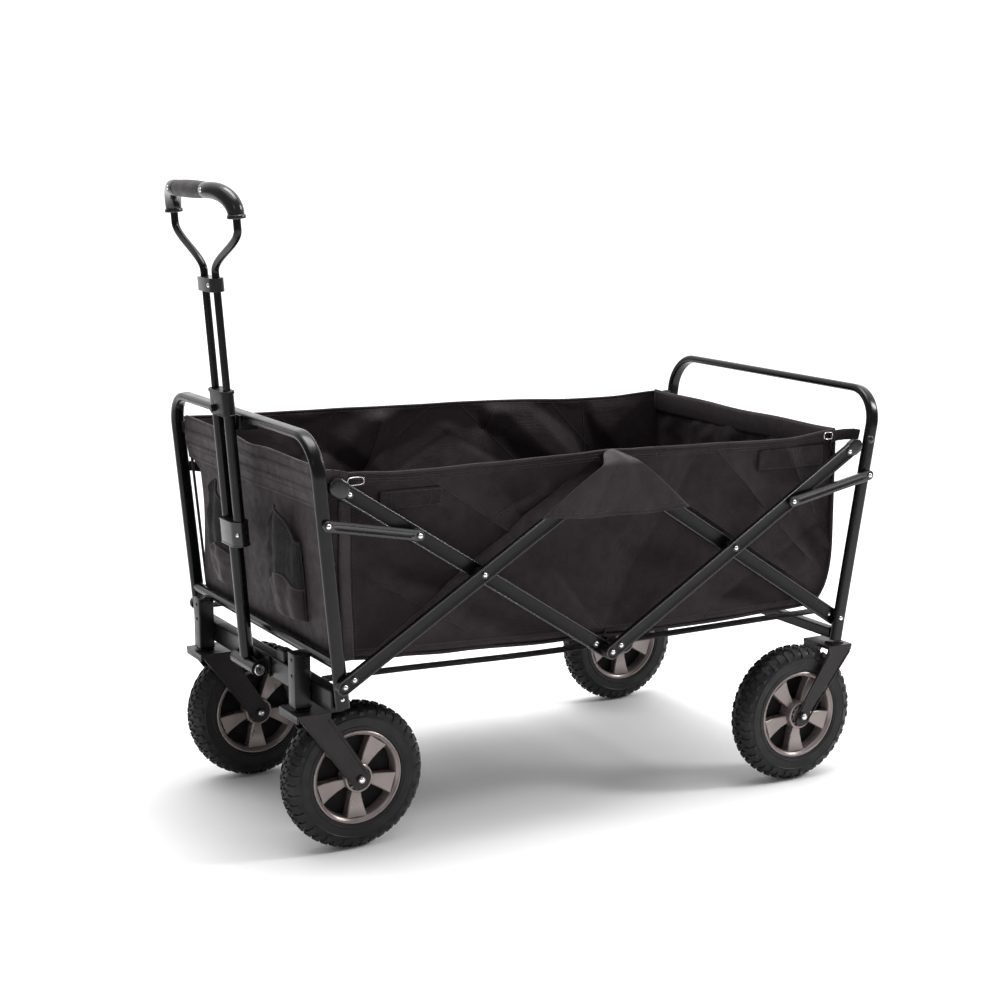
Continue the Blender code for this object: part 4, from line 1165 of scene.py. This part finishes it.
# Hook-and-loop patches near the ends of each side: name, front and rear x, lower and upper z.
PATCHES = (("front", 0.072, 0.166, 0.4885, 0.5150), ("rear", 0.704, 0.824, 0.4890, 0.5200))


def side_line(sign, lift=0.0014):
    """Maps (x, z) on a side's outer face to a point just off the cloth."""
    return lambda x, z: at(x, sign * (side_y(x, z, sign) + lift), z)


for side, sign in SIDES.items():
    on_side = side_line(sign)
    out = (0, sign, 0)
    rows = Build()
    for drop in (0.0075, 0.0110):
        stitches(rows, line(lambda t: on_side(0.02 + 0.80 * t, rim_z(0.02 + 0.80 * t, sign) - drop), 8), out)
    stitches(rows, line(lambda t: on_side(0.02 + 0.78 * t, bottom_z(0.02 + 0.78 * t) + 0.0190), 8), out)
    stitches(rows, line(lambda t: on_side(0.0330, 0.290 + 0.240 * t), 2), out)
    stitches(rows, line(lambda t: on_side(0.0140, 0.292 + 0.238 * t), 2), out)
    folds(sewn(rows, "side_stitches_" + side, THREAD, merge=False))

    # Binding tape down the front edge of each side.
    tape = panel(lambda u, v: side_line(sign, 0.0009 + 0.0006 * math.sin(math.pi * u))(
        0.0115 + 0.0175 * u, 0.2890 + 0.2200 * v), 8, 60)
    folds(soften(sewn(tape, "corner_tape_" + side, CLOTH_TAPE), 0.0012))

    for tag, x0, x1, z0, z1 in PATCHES:
        patch = panel(lambda u, v: side_line(sign, 0.0012)(x0 + (x1 - x0) * u, z0 + (z1 - z0) * v), 26, 8)
        folds(soften(sewn(patch, "patch_" + tag + "_" + side, HOOK_PILE), 0.0016))
        edges = Build()
        loop = []
        raised = side_line(sign, 0.0022)
        for px, pz in ((x0, z0), (x1, z0), (x1, z1), (x0, z1), (x0, z0)):
            loop.append(raised(px + math.copysign(0.002, (x0 + x1) / 2 - px),
                               pz + math.copysign(0.002, (z0 + z1) / 2 - pz)))
        stitches(edges, loop, out, 0.0026, 0.0014)
        for share in (0.18, 0.82):
            x = x0 + (x1 - x0) * share
            stitches(edges, [raised(x, z0 + 0.002), raised(x, z1 - 0.002)], out, 0.0026, 0.0014)
        folds(sewn(edges, "patch_stitches_" + tag + "_" + side, THREAD, merge=False))

rows = Build()
for z in (0.5030, 0.5160, 0.5240, 0.5440):
    height = (z - FRONT_SEAM_Z) / (FRONT_RIM_Z - FRONT_SEAM_Z)
    under = line(lambda t: front_point(0.01 + 0.98 * t, height), 24)
    lift = 0.0036 + (0.001 if z > 0.51 else 0)
    stitches(rows, [Vector((p.x - lift, p.y, z)) for p in under], (-1, 0, 0))
sewn(rows, "front_stitches", THREAD, merge=False)


# ---------------------------------------------------------------- side flaps
def flap_point(u, v, sign):
    """A flap over a top joint: v = 0 at the rim, v = 1 at its hem; u runs front to rear."""
    x = 0.4365 - 0.0115 * v + (u - 0.5) * (0.012 + 0.234 * v ** 0.86)
    hem_z = 0.4630 - 0.0065 * u - 0.0035 * math.sin(math.pi * u) + 0.0010 * math.sin(u * 15)
    z = 0.5435 + (hem_z - 0.5435) * v
    bridge = smooth(v / 0.20)
    y = 0.2462 + (0.2800 - 0.2462) * bridge
    z += 0.0060 * math.sin(math.pi * min(v / 0.20, 1)) * math.exp(-((u - 0.50) / 0.30) ** 2)
    centre = math.exp(-((u - 0.5) / 0.10) ** 2)
    pleat = 0.0020 * abs(math.sin(u * 7.5 + 0.6)) * smooth(v * 1.6) - 0.0018 * centre * v
    y += bridge * (0.0016 + pleat + wrinkle(x * 2.6, z * 2.6, 31.0, 0.0018) * v)
    return at(x, sign * max(y, 0.2462), z)


for side, sign in SIDES.items():
    flap = panel(lambda u, v: flap_point(u, v, sign), 48, 34)
    obj = folds(soften(sewn(flap, "flap_" + side, CLOTH_FLAP, replaces=("side_flap_" + side,)), 0.0014))
    edge = line(lambda t: flap_point(t, 1.0, sign) + Vector((0, sign * 0.0006, 0)), 40)
    hem("flap_hem_" + side, edge, "front_frame", 0.0014, CLOTH_FLAP, True)
    rows = Build()
    out = (0, sign, 0)
    lift = Vector((0, sign * 0.0008, 0))
    stitches(rows, line(lambda t: flap_point(t, 0.93, sign) + lift, 30), out)
    for u in (0.40, 0.60):
        stitches(rows, line(lambda t: flap_point(u, 0.32 + 0.45 * t, sign) + lift, 8), out)
    folds(sewn(rows, "flap_stitches_" + side, THREAD, merge=False))


# ---------------------------------------------------------------- cup pockets
def pocket_point(u, v, centre, sign):
    """Gathered pocket wall: u across, v from its base to its slack upper edge."""
    y = centre + (u - 0.5) * 0.094
    high = 0.439 + 0.047 * smooth(u / 0.42) if u < 0.42 else 0.486 - 0.068 * smooth((u - 0.42) / 0.58)
    z = 0.3280 + (high - 0.3280) * v
    swell = 0.022 * math.sin(math.pi * u) ** 0.6 * (0.50 + 0.50 * math.sin(math.pi * (0.15 + 0.7 * v)))
    gather = 0.0034 * math.sin(u * 17 + v * 3 + sign) * (0.3 + 0.7 * v)
    gather += wrinkle(y * 3, z * 3, 41.0 + sign, 0.0030)
    lift = max(swell + gather * min(1, swell / 0.008), 0.0)
    return at(front_x(z) - 0.0022 - front_relief(y, z) - lift, drawn_in(y, z), z)


for side, sign in SIDES.items():
    centre = sign * 0.116
    net = panel(lambda u, v: pocket_point(u, 0.36 + 0.64 * v, centre, sign), 40, 26)
    obj = soften(sewn(net, "pocket_net_" + side, NET, "front_frame", ("cup_pocket_" + side,), "mesh_cloth"),
                 0.0008)
    settle(obj)
    pouch = panel(lambda u, v: pocket_point(u, 0.40 * v, centre, sign) + Vector((-0.0012, 0, 0)), 40, 16)
    obj = soften(sewn(pouch, "pocket_pouch_" + side, CLOTH_FLAP, slot="mesh_cloth"), 0.0014)
    settle(obj)
    edge = line(lambda t: pocket_point(t, 1.0, centre, sign), 40)
    hem("pocket_elastic_" + side, edge, "front_frame", 0.0022, CLOTH_BAND)
    edge = line(lambda t: pocket_point(t, 0.40, centre, sign) + Vector((-0.0012, 0, 0)), 40)
    hem("pocket_seam_" + side, edge, "front_frame", 0.0018, CLOTH_TAPE)
    for tag, u in (("inner", 0.0), ("outer", 1.0)):
        edge = line(lambda t: pocket_point(u, t, centre, sign) + Vector((-0.0010, 0, 0)), 20)
        hem("pocket_side_" + tag + "_" + side, edge, "front_frame", 0.0018, WEBBING)


# ---------------------------------------------------------------- straps and rings
for side, sign in SIDES.items():
    strap = Build()
    points = [at(x, sign * 0.232, table([(-0.008, 0.2643), (0.390, 0.2548), (0.834, 0.2558)], x))
              for x in [-0.008 + 0.842 * i / 60 for i in range(61)]]
    strap.sweep(points, rounded_box(0.0120, 0.0012, 0.0010, 2))
    folds(strap.make("floor_webbing_" + side, WEBBING, "front_frame", ("floor_strap_" + side,), 50,
                     "polyester"))

    for tag, x, z in (("front", 0.034, 0.5340), ("rear", 0.829, 0.5335)):
        ring = Build()
        loop = []
        for i in range(28):
            turn = 2 * math.pi * i / 28
            wide = 0.0120 if tag == "front" else 0.0080
            across = math.copysign(abs(math.cos(turn)) ** 0.6, math.cos(turn))
            rise = math.copysign(abs(math.sin(turn)) ** 0.6, math.sin(turn))
            loop.append(at(x + wide * across, sign * 0.2480, z + 0.0052 * rise))
        ring.sweep(loop, circle(0.00075, 8), None, True)
        folds(sewn(ring, "wire_ring_" + tag + "_" + side, ZINC, slot="zinc_bolt"))

# Webbing tabs that tie the rim's corners to the uprights.
TAB_PATHS = {
    "rear": [(0.834, 0.2466, 0.531), (0.846, 0.2476, 0.533), (0.858, 0.2500, 0.534), (0.872, 0.2545, 0.534),
             (0.882, 0.2560, 0.532)],
    "front": [(0.022, 0.2476, 0.539), (0.008, 0.2482, 0.543), (-0.004, 0.2500, 0.545),
              (-0.014, 0.2535, 0.545),
              (-0.022, 0.2555, 0.544)],
}
for side, sign in SIDES.items():
    for tag, path in TAB_PATHS.items():
        body = tag + "_frame"
        tab = Build()
        tab.sweep([at(x, sign * y, z) for x, y, z in path], rounded_box(0.0012, 0.0085, 0.0010, 2))
        tab.make("corner_tab_" + tag + "_" + side, WEBBING, body, (), 50, "polyester")


# ---------------------------------------------------------------- small metalwork
housing = Build()
pins = Build()
for side, sign in SIDES.items():
    centre = at(SWIVEL_X, sign * SWIVEL_Y, 0)
    cap = [(0.0116, 0.2888), (0.0127, 0.2893), (0.0127, 0.2910), (0.0112, 0.2918)]
    housing.rings([[(centre.x + a, centre.y + b, z) for a, b in rounded_box(r, r, 0.003, 3)] for r, z in cap])
    collar = [(0.0128, 0.2098), (0.0146, 0.2104), (0.0146, 0.2124), (0.0128, 0.2132)]
    housing.lathe(collar, Matrix.Translation((centre.x, centre.y, 0)), 28)
    for z in (0.2815, 0.2590):
        place = at(SWIVEL_X - 0.0119, sign * SWIVEL_Y, z)
        stand = Matrix.Translation(place) @ Matrix.Rotation(-math.pi / 2, 4, "Y")
        pins.lathe([(r * 0.8, h * 0.7) for r, h in RIVET], stand, 16)
housing.make("housing_caps", POWDER, "front_frame", (), 40, "powder_black")
pins.make("housing_pins", CAP_PLASTIC, "front_frame", (), 50, "powder_black")

for end in ("front", "rear"):
    for side, sign in SIDES.items():
        domes = Build()
        for way in (-1, 1):
            y = sign * AXLE_Y[end] + way * 0.0352
            stand = facing(at(AXLE_X[end], y, WHEEL_RADIUS), way)
            domes.lathe([(r * 1.25, h * 0.75) for r, h in RIVET], stand, 24)
        body = "castor_" + side if end == "front" else "rear_frame"
        domes.make("axle_domes_" + end + "_" + side, ZINC, body, (), 50, "zinc_bolt")

# Pressed ribs along both edges of each outer fork face.
FORK_TOP_Z = 0.1985
FORK_LEGS = {"front": (SWIVEL_X - 0.0090, SWIVEL_X + 0.0290), "rear": (0.8205, 0.8590)}
for end, corners in FORK_LEGS.items():
    for side, sign in SIDES.items():
        ribs = Build()
        hub_x = AXLE_X[end]
        lean = math.atan2(hub_x - sum(corners) / 2, FORK_TOP_Z - WHEEL_RADIUS)
        for way in (-1, 1):
            y = sign * AXLE_Y[end] + way * 0.0310
            for edge, x in zip((-1, 1), corners):
                foot_x = hub_x + edge * 0.0118 * math.cos(lean)
                foot_z = WHEEL_RADIUS + edge * 0.0118 * math.sin(lean)
                middle = at((x + foot_x) / 2, y, (FORK_TOP_Z + foot_z) / 2)
                path = [at(x, y, FORK_TOP_Z), middle, at(foot_x, y, foot_z)]
                ribs.sweep(path, rounded_box(0.0011, 0.0011, 0.0007, 2))
        body = "castor_" + side if end == "front" else "rear_frame"
        ribs.make("fork_ribs_" + end + "_" + side, FORK_PAINT, body, (), 50, "powder_black")

fasten("front_upright_near", "front_frame", [at(0.0, -(HALF_WIDTH + 0.0058), 0.2430)], -1, False, 0.8)


# ---------------------------------------------------------------- stage, lights, camera
FLOOR_RADIUS = 3.4


def build_stage():
    floor = bpy.data.meshes.new("floor")
    edge = [(x, y, 0) for x, y in circle(FLOOR_RADIUS, 120)]
    floor.from_pydata(edge, [], [tuple(range(120))])
    mat, shader = new_material("studio_floor", (0.94, 0.94, 0.94), 0.8)
    shader.inputs["Specular IOR Level"].default_value = 0.05
    floor.materials.append(mat)
    obj = bpy.data.objects.new("floor", floor)
    bpy.context.scene.collection.objects.link(obj)
    obj.location.z = -0.0002

    # White backdrop behind the wagon, falling off to a dim room on the other side.
    world = bpy.data.worlds.new("studio")
    world.use_nodes = True
    tree = world.node_tree
    coords = tree.nodes.new("ShaderNodeTexCoord")
    toward = tree.nodes.new("ShaderNodeVectorMath")
    toward.operation = "DOT_PRODUCT"
    toward.inputs[1].default_value = (0.40, 0.78, 0.48)
    shades = tree.nodes.new("ShaderNodeValToRGB")
    for position, level in ((0.0, 0.17), (0.25, 0.19), (0.52, 0.62), (0.66, 1.0)):
        stop = shades.color_ramp.elements[0] if position == 0.0 else shades.color_ramp.elements.new(position)
        stop.color = (level, level * 0.985, level, 1)
    shades.color_ramp.elements[-1].color = (1.0, 1.0, 1.0, 1)
    tree.links.new(coords.outputs["Generated"], toward.inputs[0])
    tree.links.new(toward.outputs["Value"], shades.inputs["Fac"])
    tree.links.new(shades.outputs["Color"], tree.nodes["Background"].inputs["Color"])
    tree.nodes["Background"].inputs["Strength"].default_value = 1.5
    bpy.context.scene.world = world
    bpy.context.scene.view_settings.view_transform = "Standard"

    def area(name, location, target, size, power):
        light = bpy.data.lights.new(name, "AREA")
        light.shape = "RECTANGLE"
        light.size = size[0]
        light.size_y = size[1]
        light.energy = power
        lamp = bpy.data.objects.new(name, light)
        bpy.context.scene.collection.objects.link(lamp)
        lamp.location = location
        lamp.rotation_euler = (Vector(target) - Vector(location)).to_track_quat("-Z", "Y").to_euler()

    area("top", (0.2, 0.1, 3.2), (0, 0, 0.3), (1.8, 1.1), 62)
    area("key", (3.3, -1.7, 2.5), (0, 0, 0.35), (0.7, 0.9), 72)
    area("fill", (-2.2, -3.2, 2.4), (0, 0, 0.3), (0.7, 0.7), 5)
    sky = bpy.data.lights.new("overhead", "SUN")
    sky.energy = 1.45
    sky.angle = math.radians(60)
    bpy.context.scene.collection.objects.link(bpy.data.objects.new("overhead", sky))

    camera = bpy.data.cameras.new("camera")
    camera.lens = 69.86
    camera.sensor_width = 36
    view = bpy.data.objects.new("camera", camera)
    bpy.context.scene.collection.objects.link(view)
    view.location = at(-1.0447, -2.5495, 0.9955)
    view.rotation_euler = Vector((0.4826, 0.8553, -0.1886)).to_track_quat("-Z", "Y").to_euler()
    bpy.context.scene.camera = view


build_stage()
